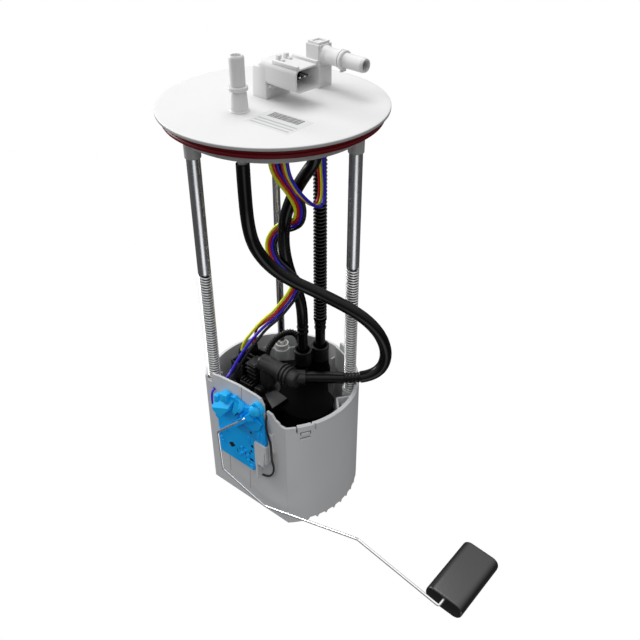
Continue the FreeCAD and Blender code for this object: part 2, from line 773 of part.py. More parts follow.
def sender_clips():
    """Clip tabs on the flat that hold the sender's right side, and the rib under its bottom edge."""
    reach = flat_y - plate_gap - plate_thickness - 1.4
    clip = block(13.4, 21.2, reach, reach + 1.4, 58.6, 78.6)
    stem = block(13.4, 15.6, reach, flat_y + 0.5, 40.0, 51.6)
    stem_link = block(13.4, 15.6, reach, reach + 1.4, 40.0, 60.0)
    hook = block(plate_right + 0.3, plate_right + 1.6, reach, flat_y + 0.5, 61.0, 78.6)
    hook_link = block(18.0, plate_right + 1.6, reach, reach + 1.4, 72.0, 78.6)
    keeper = block(25.9, 30.0, flat_y - 2.2, flat_y + 0.5, 75.0, 92.0)
    keeper_foot = panel([(25.9, 60.0), (29.2, 73.0), (30.6, 73.6), (30.6, 75.4), (25.9, 75.4)],
                        flat_y - 2.2, flat_y + 0.5)
    return [clip, stem, stem_link, hook, hook_link, keeper, keeper_foot]


def guide_bores():
    cuts = []
    for x, y in ((left_x, left_y), (right_x, right_y)):
        cuts.append(rod(lower_rod_radius + slide_clearance, lip_bottom - 1, guide_top + 1, x, y))
        cuts.append(rod(guide_chamber_radius, floor_top + 1.0, lip_bottom, x, y))
    cuts.append(rod(bush_radius, rear_post_top - guide_lip, rear_post_top + 1, rear_x, rear_y))
    cuts.append(rod(guide_chamber_radius, floor_top + 1.0, rear_post_top - guide_lip + 0.1, rear_x, rear_y))
    return cuts


def inlet_holes():
    """Hole for the inlet valve's stem and the flow holes under its skirt."""
    low = cup_floor_bottom - 1
    high = floor_top + 1
    holes = [rod(inlet_stem_radius, low, high, 0.0, inlet_valve_y)]
    for i in range(4):
        x, y = on_ring(3.7, 90.0 * i)
        holes.append(rod(1.2, low, high, x, inlet_valve_y + y))
    return holes


def rim_slots():
    """Two slots in the rim and the snap window between and below them."""
    cuts = []
    for degrees in (-38.5, -25.0):
        slot = block(cup_inner_radius - 1, cup_radius + 1, -0.6, 0.6, cup_height - 6.0, cup_height + 1)
        cuts.append(about_z(slot, degrees))
    window = block(cup_inner_radius - 1, cup_radius + 1, -4.2, 4.2, cup_height - 13.0, cup_height - 10.4)
    cuts.append(about_z(window, -32.5))
    return cuts


def lead_holes():
    """Holes in the flat where the sender's leads come through."""
    along_y = vector(0, 1, 0)
    return [along(along_y, cup_wall + 2, 1.6, vector(-32.6, flat_y - 1, 104.0)),
            block(20.6, 24.2, flat_y - 1, cup_inner_flat + 1, cup_height - 4, cup_height + 4)]


def teeth_gaps():
    """Gaps that leave a row of small teeth along the round wall's lower edge."""
    gaps = []
    step = 360.0 / tooth_count
    for i in range(tooth_count):
        degrees = i * step
        x, y = on_ring(cup_radius, degrees)
        if y < flat_y + 16.0 or math.hypot(x, y - 49.5) < foot_radius + 6.0:
            continue
        pitch = math.radians(step) * cup_radius
        outline = [
            vector(cup_inner_radius - 2, tooth_tip / 2 - pitch, cup_skirt_bottom - 1),
            vector(cup_inner_radius - 2, tooth_tip / 2 - pitch, cup_skirt_bottom),
            vector(cup_inner_radius - 2, tooth_width / 2 - pitch, cup_skirt_bottom + tooth_depth),
            vector(cup_inner_radius - 2, -tooth_width / 2, cup_skirt_bottom + tooth_depth),
            vector(cup_inner_radius - 2, -tooth_tip / 2, cup_skirt_bottom),
            vector(cup_inner_radius - 2, -tooth_tip / 2, cup_skirt_bottom - 1),
        ]
        face = Part.Face(Part.makePolygon(outline + outline[:1]))
        gap = face.extrude(vector(cup_wall + 3, 0, 0))
        gaps.append(about_z(gap, degrees))
    return gaps


def make_rear_bush():
    """Funnel-mouthed bush in the rear guide."""
    low = rear_post_top - guide_lip
    top = rear_post_top + bush_flange_height
    bore = rear_rod_radius + slide_clearance
    outline = [
        (bore, low), (bush_radius, low), (bush_radius, rear_post_top),
        (bush_mouth_radius + 0.2, rear_post_top),
        (bush_mouth_radius + 0.6, top), (bush_mouth_radius - 0.6, top), (bore, rear_post_top - 1.0),
    ]
    return turned_profile(outline, rear_x, rear_y).common(rod(cup_inner_radius, low, top))


# Pump

def make_carrier():
    """Black sleeve that holds the pump upright, on three legs, with tall windows."""
    inner = pump_can_radius + fit_gap
    outer = inner + carrier_wall
    sleeve = tube(outer, inner, pump_bottom - 3, cap_bottom, pump_x, pump_y)
    cuts = []
    for degrees in (30, 150, 270):
        window = block(inner - 2, outer + 2, -5.0, 5.0, pump_bottom + 12, pump_top - 14)
        window = about_z(window, degrees)
        window.translate(vector(pump_x, pump_y, 0))
        cuts.append(window)
    sleeve = without(sleeve, cuts)
    pieces = [sleeve]
    for degrees in (90, 210, 330):
        leg = block(inner - 3.5, outer, -3.0, 3.0, floor_top, pump_bottom - 0.5)
        leg = about_z(leg, degrees)
        leg.translate(vector(pump_x, pump_y, 0))
        pieces.append(leg)
    return joined(pieces)


def make_strainer():
    """Flat inlet strainer on the cup's floor with its collar under the pump's inlet."""
    height = 3.6
    low = floor_top + 0.2
    pad = rod(13.5, low, low + height, pump_x, pump_y)
    pad = rounded(pad, 1.2, lambda e: e.Length > 30)
    collar = tube(6.0, 4.2, low + height - 0.5, pump_bottom - 0.1, pump_x, pump_y)
    well = rod(4.2, low + 1.5, low + height + 1, pump_x, pump_y)
    return without(joined([pad, collar]), well)


def make_pump_can():
    wall = pump_can_wall
    body = tube(pump_can_radius, pump_can_radius - wall, pump_bottom, pump_top, pump_x, pump_y)
    low_lip = tube(pump_can_radius - 0.2, pump_can_radius - 3.0, pump_bottom, pump_bottom + wall, pump_x,
                   pump_y)
    top_lip = tube(pump_can_radius - 0.2, pump_can_radius - 3.0, pump_top - wall, pump_top, pump_x, pump_y)
    return joined([body, low_lip, top_lip])


def impeller_bottom():
    return pump_bottom + pump_can_wall + inlet_cover_height + 0.2


def make_inlet_cover():
    """Lower pump cover with the inlet spigot, side channel and shaft bearing."""
    outer = pump_can_radius - pump_can_wall
    low = pump_bottom + pump_can_wall
    top = low + inlet_cover_height
    disc = rod(outer, low, top, pump_x, pump_y)
    spigot = rod(3.9, pump_bottom - 3.5, low + 1, pump_x, pump_y)
    channel = tube(15.0, 12.6, top - 1.6, top + 1, pump_x, pump_y)
    bearing = rod(shaft_radius + 0.05, top - 3.0, top + 1, pump_x, pump_y)
    throat = rod(2.4, pump_bottom - 4, low + 1.5, pump_x, pump_y)
    port = block(pump_x, pump_x + 13.5, pump_y - 1.8, pump_y + 1.8, low + 0.8, low + 3.0)
    riser = rod(1.2, low + 2.0, top, pump_x + 13.6, pump_y)
    return without(joined([disc, spigot]), [channel, bearing, throat, port, riser])


def make_impeller():
    """Thin impeller with vane slots round its rim."""
    low = impeller_bottom()
    disc = rod(16.4, low, low + impeller_thickness, pump_x, pump_y)
    slots = []
    for i in range(impeller_vanes):
        slot = block(13.4, 15.6, -0.9, 0.9, low - 1, low + impeller_thickness + 1)
        slot = about_z(slot, i * 360.0 / impeller_vanes)
        slot.translate(vector(pump_x, pump_y, 0))
        slots.append(slot)
    hole = rod(shaft_radius, low - 1, low + impeller_thickness + 1, pump_x, pump_y)
    return without(disc, slots + [hole])


def armature_low():
    return impeller_bottom() + impeller_thickness + 7.4


def make_armature():
    """Shaft, wound core and commutator in one."""
    low = armature_low()
    high = low + armature_height
    core_radius = pump_can_radius - pump_can_wall - magnet_thickness - air_gap
    outline = [
        (0, impeller_bottom() - 2.4), (shaft_radius, impeller_bottom() - 2.4), (shaft_radius, low - 1.5),
        (5.0, low - 1.5), (core_radius - 2.5, low), (core_radius - 2.5, low + 3.0),
        (core_radius, low + 3.0),
        (core_radius, high - 3.0), (core_radius - 2.5, high - 3.0), (core_radius - 2.5, high),
        (6.5, high + 1.5),
        (6.5, high + 6.5), (shaft_radius, high + 6.5), (shaft_radius, high + 11.0), (0, high + 11.0),
    ]
    return turned_profile(outline, pump_x, pump_y)


def make_pump_chamber():
    """Upper side of the pump chamber, with the armature's lower bearing."""
    outer = pump_can_radius - pump_can_wall
    low = impeller_bottom()
    top = low + impeller_thickness + 4.6
    disc = rod(outer, low, top, pump_x, pump_y)
    pocket = rod(16.6, low - 1, low + impeller_thickness + 0.2, pump_x, pump_y)
    channel = tube(15.0, 12.6, low, low + impeller_thickness + 1.6, pump_x, pump_y)
    bearing = rod(shaft_radius + 0.05, low, top + 1, pump_x, pump_y)
    port = rod(1.3, low, top + 1, pump_x - 13.6, pump_y)
    return without(disc, [pocket, channel, bearing, port])


def make_magnets():
    outer = pump_can_radius - pump_can_wall
    ring = tube(outer, outer - magnet_thickness, armature_low(), armature_low() + armature_height, pump_x,
                pump_y)
    gaps = [block(pump_x - 4.0, pump_x + 4.0, pump_y - 30, pump_y + 30, 0, 100)]
    return without(ring, gaps)


def make_outlet_cap():
    """Plastic end of the pump: upper bearing, brush wells, outlet spigot and terminal post."""
    outer = pump_can_radius - pump_can_wall
    low = armature_low() + armature_height + 2.0
    drum = rod(outer, low, pump_top - pump_can_wall, pump_x, pump_y)
    neck = rod(pump_can_radius - 3.0, pump_top - pump_can_wall - 0.1, outlet_top, pump_x, pump_y)
    spigot = rod(spigot_radius, outlet_top - 1, spigot_top, spigot_x, spigot_y)
    post = block(pump_x - 11.0, pump_x - 5.0, pump_y - 5.0, pump_y + 5.0, outlet_top - 1, outlet_top + 4.0)
    cavity = rod(7.2, low - 1, low + 6.0, pump_x, pump_y)
    bearing = rod(shaft_radius + 0.05, low, low + 9.2, pump_x, pump_y)
    wells = []
    for turn in (-1, 1):
        x = pump_x + turn * 9.4
        wells.append(block(x - 2.8, x + 2.8, pump_y - 2.0, pump_y + 2.0, low - 1, low + 6.0))
    valve_bore = rod(valve_bore_radius, outlet_top - 4.0, spigot_top + 1, spigot_x, spigot_y)
    throat = rod(1.5, low - 1, outlet_top, spigot_x, spigot_y)
    return without(joined([drum, neck, spigot, post]), [cavity, bearing, valve_bore, throat] + wells)


def make_brushes():
    low = armature_low() + armature_height + 2.4
    brushes = []
    for turn in (-1, 1):
        inner = pump_x + turn * 6.7
        outer = pump_x + turn * 11.5
        brushes.append(block(min(inner, outer), max(inner, outer), pump_y - 1.8, pump_y + 1.8, low,
                             low + 3.6))
    return Part.makeCompound(brushes)


def valve_seat():
    return outlet_top - 4.0


def make_check_valve():
    """Poppet with a cone that closes the outlet's throat, and a stem for its spring."""
    low = valve_seat()
    outline = [(0, low), (1.4, low), (valve_bore_radius - slide_clearance, low + 1.4),
               (valve_bore_radius - slide_clearance, low + 3.0), (1.0, low + 3.0), (1.0, low + 5.0),
               (0, low + 5.0)]
    return turned_profile(outline, spigot_x, spigot_y)


def make_valve_stop():
    """Push-in cage at the spigot's mouth that the check valve's spring rests on."""
    low = spigot_top - 3.0
    ring = tube(valve_bore_radius, 1.5, low, spigot_top, spigot_x, spigot_y)
    return ring


def make_valve_spring():
    return tube(2.1, 1.5, valve_seat() + 3.0, spigot_top - 3.0, spigot_x, spigot_y)


# Filter and cap

def make_filter_housing():
    outer = rod(filter_radius, filter_bottom, cap_bottom, filter_x, filter_y)
    outer = rounded(outer, 2.5, lambda e: e.BoundBox.ZMax < filter_bottom + 0.01)
    inner = rod(filter_radius - filter_wall, filter_bottom + filter_wall, cap_bottom + 1, filter_x,
                filter_y)
    legs = []
    for degrees in (20, 140, 260):
        leg = block(10.0, 14.0, -2.5, 2.5, floor_top, filter_bottom + 1.0)
        leg = about_z(leg, degrees)
        leg.translate(vector(filter_x, filter_y, 0))
        legs.append(leg)
    return joined([without(outer, inner)] + legs)


def make_filter_element():
    """Pleated paper ring, drawn as a star with blunt pleats."""
    pleats = 20
    outer = filter_radius - filter_wall - 0.3
    inner = 9.0
    points = []
    for i in range(pleats):
        for share, radius in ((0.0, outer - 0.3), (0.5, outer - 4.0)):
            points.append(on_ring(radius, (i + share) * 360.0 / pleats))
    star = slab(points, filter_bottom + filter_wall, cap_bottom - 2.0)
    star.translate(vector(filter_x, filter_y, 0))
    return without(star, rod(inner, 0, 200, filter_x, filter_y))


def make_cap():
    """Black cap over pump and filter, with the two hose sockets and the shelf for the plug."""
    pump_disc = pump_can_radius + fit_gap + carrier_wall
    discs = [rod(pump_disc, cap_bottom, cap_top, pump_x, pump_y),
             rod(filter_radius, cap_bottom, cap_top, filter_x, filter_y)]
    for x, y in ((return_x, return_y), (vapour_x, vapour_y)):
        discs.append(rod(socket_radius + 1.4, cap_bottom, cap_top, x, y))
    web = [(-44.0, -11.5), (-24.0, -22.0), (20.0, -14.0), (34.0, 16.0), (8.5, 47.0), (-4.0, 49.0),
           (-17.5, 40.5), (-44.5, 15.5)]
    plate = slab(web, cap_bottom, cap_top)
    sockets = []
    bores = []
    for x, y in ((return_x, return_y), (vapour_x, vapour_y)):
        sockets.append(Part.makeCone(socket_radius + 1.2, socket_radius, 6.0, vector(x, y, cap_top - 0.2)))
        sockets.append(rod(socket_radius, cap_top, cap_top + socket_height, x, y))
        bores.append(rod(socket_radius - socket_wall, cap_top + 3.0, cap_top + socket_height + 1, x, y))
    for x, y in (bridge_route[0][:2], bridge_route[-1][:2]):
        sockets.append(rod(bridge_radius + 1.6, cap_bottom, 92.0, x, y))
        bores.append(rod(bridge_radius + 0.05, 90.0, 93.0, x, y))
    fan = [(-8.4, -13.8), (8.6, -23.1), (9.8, -5.6), (-4.5, -3.6)]
    rib = slab(fan, cap_top - 0.5, cap_top + 2.2)
    webs = [web_plate((return_x, return_y), (-11.0, 12.0), 108.0),
            web_plate((return_x, return_y), (12.0, 22.0), 104.0)]
    neck = pump_can_radius - 3.0 + cap_clearance / 2
    opening = [rod(neck, cap_bottom - 1, outlet_top + 0.2, pump_x, pump_y)]
    solid = joined(discs + [plate, rib] + sockets + webs)
    return without(solid, bores + opening)


def web_plate(start, end, top):
    """Triangular web that braces a socket on the cap."""
    (x0, y0), (x1, y1) = start, end
    outline = [vector(x0, y0, cap_top - 0.5), vector(x1, y1, cap_top - 0.5), vector(x0, y0, top)]
    face = Part.Face(Part.makePolygon(outline + outline[:1]))
    normal = face.normalAt(0, 0)
    face.translate(normal * -0.9)
    return face.extrude(normal * 1.8)


def make_head():
    """Pressure pipe across the cap: socket on the pump's spigot, ribbed end, branch for the hose."""
    length = head_right - head_left
    rings = []
    barrel = along(vector(1, 0, 0), length, head_radius, vector(head_left, head_y, head_z))
    barrel = rounded(barrel, 1.5, lambda e: e.Length > 20 and e.BoundBox.XLength < 0.01)
    for i in range(3):
        rings.append(along(vector(1, 0, 0), 1.6, head_radius + 1.3, vector(2.0 + 3.4 * i, head_y, head_z)))
    neck = rod(head_radius - 0.3, cap_top + 5.0, head_z, spigot_x, spigot_y)
    direction = vector(math.cos(math.radians(branch_angle)), math.sin(math.radians(branch_angle)), 0)
    start = vector(branch_x, head_y, head_z)
    root = along(direction, branch_reach, head_radius - 0.9, start)
    barb = along(direction, branch_reach + 14.0, branch_radius, start)
    socket = rod(spigot_radius + 0.05, cap_top + 4.0, spigot_top + 0.3, spigot_x, spigot_y)
    duct = rod(2.4, spigot_top, head_z, spigot_x, spigot_y)
    bore = along(vector(1, 0, 0), branch_x - spigot_x, 2.4, vector(spigot_x, head_y, head_z))
    branch_bore = along(direction, branch_reach + 15.0, 1.9, start)
    return without(joined([barrel, neck, root, barb] + rings), [socket, duct, bore, branch_bore])


def on_branch(reach):
    """Point on the branch's axis."""
    return (branch_x + reach * math.cos(math.radians(branch_angle)),
            head_y + reach * math.sin(math.radians(branch_angle)), head_z)


def supply_end():
    """Last point of the supply hose: against the branch's root."""
    return on_branch(branch_reach)


def make_supply_hose():
    """Hose from the nipple's stub to the branch. It is bored where the stub and the barb go in."""
    route = supply_route + [on_branch(branch_reach + 18.0), supply_end()]
    hose = cord("supply_hose", route, supply_hose_radius)
    direction = vector(-math.cos(math.radians(branch_angle)), -math.sin(math.radians(branch_angle)), 0)
    x, y, z = supply_end()
    cuts = [along(direction * -1, 14.2, branch_radius, vector(x, y, z))]
    return without(hose, cuts)


def make_cuff(x, y):
    """Hard lower end of a hose, with two rings at its top, standing in its socket."""
    low = cap_top + 3.2
    outline = [(0, low), (cuff_radius, low), (cuff_radius, cuff_top - 9.0),
               (cuff_radius + 0.7, cuff_top - 8.4),
               (cuff_radius + 0.7, cuff_top - 6.4), (cuff_radius, cuff_top - 5.8),
               (cuff_radius, cuff_top - 4.2),
               (cuff_radius + 0.7, cuff_top - 3.6), (cuff_radius + 0.7, cuff_top - 1.6),
               (cuff_radius, cuff_top - 1.0),
               (cuff_radius, cuff_top), (0, cuff_top)]
    return turned_profile(outline, x, y)


def make_vapour_hose():
    return cord("vapour_hose", [(vapour_x, vapour_y, cuff_top), (vapour_x, vapour_y, 296.0)],
                vapour_hose_radius)


def make_terminal_plug():
    """Plug block on the cap with two wire entries."""
    body = block(-45.0, -34.6, -10.5, 13.5, cap_top, 102.0)
    body = rounded(body, 1.2, lambda e: abs(e.tangentAt(e.FirstParameter).z) > 0.99)
    entries = [rod(2.6, 101.5, 106.0, yellow_end[-1][0], yellow_end[-1][1]),
               rod(2.6, 101.5, 106.0, red_end[-1][0], red_end[-1][1])]
    latch = block(-42.0, -37.0, -1.5, 3.5, 101.5, 104.0)
    return joined([body, latch] + entries)


def make_harness_plug():
    """Plug under the cover that the wires hang from."""
    body = block(-2.4, 16.6, -9.0, 1.5, plug_bottom, plate_z)
    return rounded(body, 1.0, lambda e: abs(e.tangentAt(e.FirstParameter).z) > 0.99)


def make_sensor_plug():
    body = block(7.0, 17.4, 29.4, 36.2, plug_bottom, plate_z)
    return rounded(body, 1.0, lambda e: abs(e.tangentAt(e.FirstParameter).z) > 0.99)


def make_regulator():
    """Crimped pressure regulator in the cup beside the filter."""
    outline = [(0, 40.0), (3.0, 40.0), (3.0, 46.0), (8.5, 46.0), (8.5, 52.0), (10.0, 52.6), (10.0, 54.6),
               (8.5, 55.2),
               (8.5, 62.0), (6.5, 64.5), (0, 64.5)]
    return turned_profile(outline, jet_x, jet_y)


def make_jet_pump():
    """Jet pump lying on the cup's floor, with its feed pipe up to the regulator."""
    axis = floor_top + 4.4
    barrel = along(vector(-1, 0, 0), jet_length, 4.2, vector(jet_x + 8.0, jet_y, axis))
    mouth = Part.makeCone(3.6, 4.35, 4.0, vector(jet_x + 8.0 - jet_length, jet_y, axis), vector(-1, 0, 0))
    feed = tube(4.6, 3.05, axis, 46.0, jet_x, jet_y)
    foot = block(jet_x - 5.0, jet_x + 5.0, jet_y - 4.0, jet_y + 4.0, floor_top, floor_top + 4.0)
    nozzle = along(vector(-1, 0, 0), jet_length + 6.0, 1.6, vector(jet_x + 6.0, jet_y, axis))
    return without(joined([barrel, mouth, feed, foot]), nozzle)


def make_inlet_valve():
    """Rubber umbrella valve in the cup's floor."""
    low = floor_top
    stem = inlet_stem_radius
    outline = [(0, low - 2.4), (stem, low - 2.4), (stem, low), (6.0, low + 0.05), (5.0, low + 1.2),
               (1.5, low + 2.2), (0, low + 2.2)]
    return turned_profile(outline, 0.0, inlet_valve_y)


# Level sender

def make_sender_body():
    y0, y1 = sender_front, sender_back
    outline = [
        (plate_left, plate_bottom), (10.2, plate_bottom), (11.5, 52.0), (22.0, 58.0), (plate_right, 80.0),
        (plate_right, 98.5), (20.6, 104.0), (20.6, 112.0), (17.0, 115.0), (8.0, 113.0), (0.6, 109.9),
        (-8.8, 114.4),
        (-15.0, 117.4), (-20.5, 113.0), (-24.0, 106.0), (-29.7, 99.3), (-30.6, 80.0), (plate_left, 78.0),
    ]
    pieces = [panel(outline, y0, y1)]
    left_box = [(-28.7, 92.6), (-26.7, 86.6), (-19.9, 87.1), (-9.8, 99.5), (-10.1, 105.0), (-24.1, 105.0)]
    top_box = [(-18.9, 108.1), (-14.0, 109.5), (-6.5, 115.2), (-8.3, 118.6), (-14.4, 117.6)]
    ridge = [(-7.1, 101.1), (-4.5, 96.0), (-1.2, 99.5), (3.7, 107.2), (2.3, 110.4), (-2.0, 109.6)]
    pieces.append(panel(left_box, -53.0, y1))
    pieces.append(panel(top_box, -50.8, y1))
    pieces.append(panel(ridge, -50.5, y1))
    for x in (15.4, 19.8):
        pieces.append(block(x, x + 2.2, y0 - 0.5, y1, 80.4, 86.2))
    pieces.append(along(vector(0, 1, 0), sender_back - (hub_back + 0.3), 7.2,
                        vector(pivot_x, hub_back + 0.3, pivot_z)))
    pieces += arm_stops()
    tool = y0 + 2.2
    holes = [
        panel([(-16.0, 58.6), (-13.6, 56.2), (-11.0, 58.4), (-13.6, 60.6)], y0 - 1, tool),
        block(-8.2, -6.8, y0 - 1, tool, 53.0, 57.4), block(-3.6, -1.4, y0 - 1, tool, 59.8, 61.8),
        block(0.8, 3.0, y0 - 1, tool, 60.0, 62.0), block(5.8, 8.8, y0 - 1, tool, 62.4, 64.4),
        block(6.8, 10.2, y0 - 1, tool, 54.4, 56.4), block(8.0, 10.4, y0 - 1, tool, 69.0, 71.4),
        block(-4.9, -3.3, -52.0, -48.0, 97.4, 99.8),
    ]
    margin = 0.1
    holes.append(block(card_x - margin, card_x + card_width + margin, y0 - 1, y0 + card_thickness,
                       card_z - margin, card_z + card_height + margin))
    return without(joined(pieces), holes)


def along_arm(distance, side):
    """Point (x, z) beside the arm's upper run, from its end at the rotor, with side toward the upper left."""
    end_x, end_z = arm_points[0]
    along_x, along_z = on_ring(distance, arm_rest_angle)
    side_x, side_z = on_ring(side, arm_rest_angle - 90)
    return end_x + along_x + side_x, end_z + along_z + side_z


def arm_stops():
    """Two pegs. The rotor's plate rests on the first, its lug meets the second at the end of the swing."""
    low_x, low_z = along_arm(4.0, 2.0 + stop_radius + 0.05)
    touching = math.degrees(2 * math.asin(stop_radius / stop_reach)) + 0.5
    off_x, off_z = on_ring(stop_reach, lug_angle + arm_swing + touching)
    pegs = []
    for x, z in ((low_x, low_z), (pivot_x + off_x, pivot_z + off_z)):
        place = vector(x, stop_front, z)
        pegs.append(along(vector(0, 1, 0), sender_back - stop_front, stop_radius, place))
    return pegs


def make_card():
    """Ceramic resistor card in its recess."""
    return block(card_x, card_x + card_width, sender_front, sender_front + card_thickness, card_z,
                 card_z + card_height)


def make_rotor():
    """Rotor: domed hub with stop lug, plate behind the arm, walls that grip the arm, wing for the wiper."""
    length = hub_back - hub_front
    hub = along(vector(0, -1, 0), length, hub_radius, vector(pivot_x, hub_back, pivot_z))
    hub = rounded(hub, 1.6, lambda e: e.BoundBox.YMax < hub_front + 0.01)
    lug = along(vector(0, -1, 0), rotor_thickness, stop_radius, vector(pivot_x, hub_back, pivot_z))
    lug.translate(vector(stop_reach * math.cos(math.radians(lug_angle)), 0,
                         stop_reach * math.sin(math.radians(lug_angle))))
    link = block(0, stop_reach, hub_back - rotor_thickness, hub_back, -stop_radius, stop_radius)
    link.rotate(vector(0, 0, 0), vector(0, 1, 0), -lug_angle)
    link.translate(vector(pivot_x, 0, pivot_z))
    front = hub_back - rotor_thickness
    plate = panel([along_arm(-11.0, 2.0), along_arm(17.0, 2.0), along_arm(17.0, -3.2), along_arm(8.0, -3.6),
                   along_arm(-8.0, -6.0)], front, hub_back)
    lower_wall = panel([along_arm(-1.0, -1.02), along_arm(17.0, -1.02), along_arm(17.0, -2.4),
                        along_arm(-1.0, -2.4)],
                       grip_front, hub_back)
    upper_wall = panel([along_arm(3.0, 1.02), along_arm(9.0, 1.02), along_arm(9.0, 2.0),
                        along_arm(3.0, 2.0)],
                       grip_front, hub_back)
    web = panel([along_arm(-10.0, 2.0), along_arm(-1.6, 2.0), along_arm(-1.6, -2.4), along_arm(-9.0, -4.0)],
                grip_front + 1.0, hub_back)
    wing = panel([(4.5, 90.9), (13.7, 90.2), (19.9, 94.7), (23.0, 101.6), (14.0, 106.0)], hub_back - 1.2,
                 hub_back)
    return without(joined([hub, lug, link, plate, lower_wall, upper_wall, web, wing]), make_arm())


def make_wiper():
    """Sprung contact fingers under the rotor's plate, swept over the card."""
    fingers = []
    y0, y1 = hub_back + 0.02, hub_back + 0.32
    for side in (-2.6, -0.4):
        fingers.append(panel([along_arm(2.0, side), along_arm(9.5, side), along_arm(9.5, side + 0.8),
                              along_arm(2.0, side + 0.8)], y0, y1))
    bridge = panel([along_arm(2.0, -2.6), along_arm(4.0, -2.6), along_arm(4.0, 0.4), along_arm(2.0, 0.4)],
                   y0, y1)
    return joined(fingers + [bridge])


def make_arm():
    """Bent wire from the rotor, down round the sender and out into the float."""
    x, z = arm_points[0]
    points = [(x, hub_back - 0.1, z)]
    points += [(x, arm_plane, z) for x, z in arm_points]
    points.append((arm_points[-1][0], float_near + float_hold, arm_points[-1][1]))
    corners = [vector(*p) for p in points]
    edges = []
    start = corners[0]
    for i in range(1, len(corners) - 1):
        before, corner, after = corners[i - 1], corners[i], corners[i + 1]
        back = (before - corner).normalize()
        ahead = (after - corner).normalize()
        half_turn = (math.pi - back.getAngle(ahead)) / 2
        reach = min(arm_bend * math.tan(half_turn), 0.45 * (before - corner).Length)
        radius = reach / math.tan(half_turn)
        middle = corner + (back + ahead).normalize() * (radius / math.cos(half_turn) - radius)
        edges.append(Part.LineSegment(start, corner + back * reach).toShape())
        edges.append(Part.Arc(corner + back * reach, middle, corner + ahead * reach).toShape())
        start = corner + ahead * reach
    edges.append(Part.LineSegment(start, corners[-1]).toShape())
    section = Part.Wire(Part.makeCircle(arm_radius, corners[0], corners[1] - corners[0]))
    return Part.Wire(edges).makePipeShell([section], True, False)


def make_float():
    """Foam float, with its long edges well rounded and a bore for the wire."""
    body = block(-float_width / 2, float_width / 2, float_near, float_near + float_length,
                 -float_height / 2, float_height / 2)
    body = rounded(body, float_round, lambda e: abs(e.tangentAt(e.FirstParameter).y) > 0.99)
    body = rounded(body, 1.0, lambda e: e.BoundBox.YLength < 0.01)
    body.rotate(vector(0, 0, 0), vector(0, 1, 0), float_tilt)
    x, z = arm_points[-1]
    body.translate(vector(x, 0, z - float_drop))
    bore = along(vector(0, 1, 0), float_hold + 3.0, arm_radius + float_bore_clearance,
                 vector(x, float_near - 1, z))
    return without(body, bore)


def wire_sets():
    """Every wire in the loom with its own place across the bundle."""
    first = (loom_lean - 1.5) * wire_spacing
    sets = []
    for i, (name, end) in enumerate((("black", black_end), ("blue", blue_end), ("red", red_end),
                                     ("yellow", yellow_end))):
        route = beside(loom_route, first + i * wire_spacing) + end
        sets.append(("wire_" + name, route))
    for i, name in enumerate(("red", "yellow", "blue")):
        shift = (i - 1) * wire_spacing
        sets.append(("jumper_" + name, [(x + shift, y, z) for x, y, z in jumper_route]))
    sets.append(("sender_lead_blue", sender_blue_route))
    sets.append(("sender_lead_black", sender_black_route))
    return sets


def main():
    os.makedirs("parts", exist_ok=True)
    save("cover", make_cover())
    save("connector_shell", about_z(make_connector_shell(), cover_turn))
    save("connector_pins", about_z(make_connector_pins(), cover_turn))
    save("elbow_port", about_z(make_elbow(), cover_turn))
    save("elbow_clip", about_z(make_elbow_clip(), cover_turn))
    save("seal_ring", make_seal())
    save("guide_rod_left", make_spring_rod(left_x, left_y))
    save("guide_rod_right", make_spring_rod(right_x, right_y))
    save("guide_rod_rear", make_rear_rod())
    save("rod_retainers", make_retainers())
    save("rear_rod_retainer", make_rear_retainer())
    save("spring_left", make_spring(left_x, left_y))
    save("spring_right", make_spring(right_x, right_y))
    save("harness_plug", make_harness_plug())
    save("sensor_plug", make_sensor_plug())
    save("reservoir_cup", make_cup())
    save("rear_rod_bush", make_rear_bush())
    save("pump_carrier", make_carrier())
    save("inlet_strainer", make_strainer())
    save("pump_can", make_pump_can())
    save("pump_inlet_cover", make_inlet_cover())
    save("pump_chamber", make_pump_chamber())
    save("pump_impeller", make_impeller())
    save("pump_armature", make_armature())
    save("pump_magnets", make_magnets())
    save("pump_outlet_cap", make_outlet_cap())
    save("pump_brushes", make_brushes())
    save("check_valve", make_check_valve())
    save("check_valve_cage", make_valve_stop())
    save("check_valve_spring", make_valve_spring())
    save("filter_housing", make_filter_housing())
    save("filter_element", make_filter_element())
    save("module_cap", make_cap())
    save("pressure_head", make_head())
    save("pressure_regulator", make_regulator())
    save("jet_pump", make_jet_pump())
    save("inlet_valve", make_inlet_valve())
    save("terminal_plug", make_terminal_plug())
    save("supply_hose", make_supply_hose())
    save("return_hose", cord("return_hose", return_route, return_hose_radius))
    save("vapour_hose", make_vapour_hose())
    save("return_hose_cuff", make_cuff(return_x, return_y))
    save("vapour_hose_cuff", make_cuff(vapour_x, vapour_y))
    save("bridge_tube", cord("bridge_tube", bridge_route, bridge_radius))
    for name, route in wire_sets():
        save(name, cord(name, route, lead_radius if name.startswith("sender") else wire_radius))
    save("sender_body", make_sender_body())
    save("resistor_card", make_card())
    save("sender_rotor", make_rotor())
    save("wiper_contacts", make_wiper())
    save("float_arm", make_arm())
    save("float", make_float())


main()
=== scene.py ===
# %% [markdown]
# # Fuel pump module
# A flange cover on three guide rods stands over a grey cup that holds pump, filter and level sender.
# The CAD model is loaded first. Every visible piece is then drawn in more detail and rides on its body.

# %% Load the frame
import json
import math

import bmesh
import bpy
from mathutils import Matrix, Vector


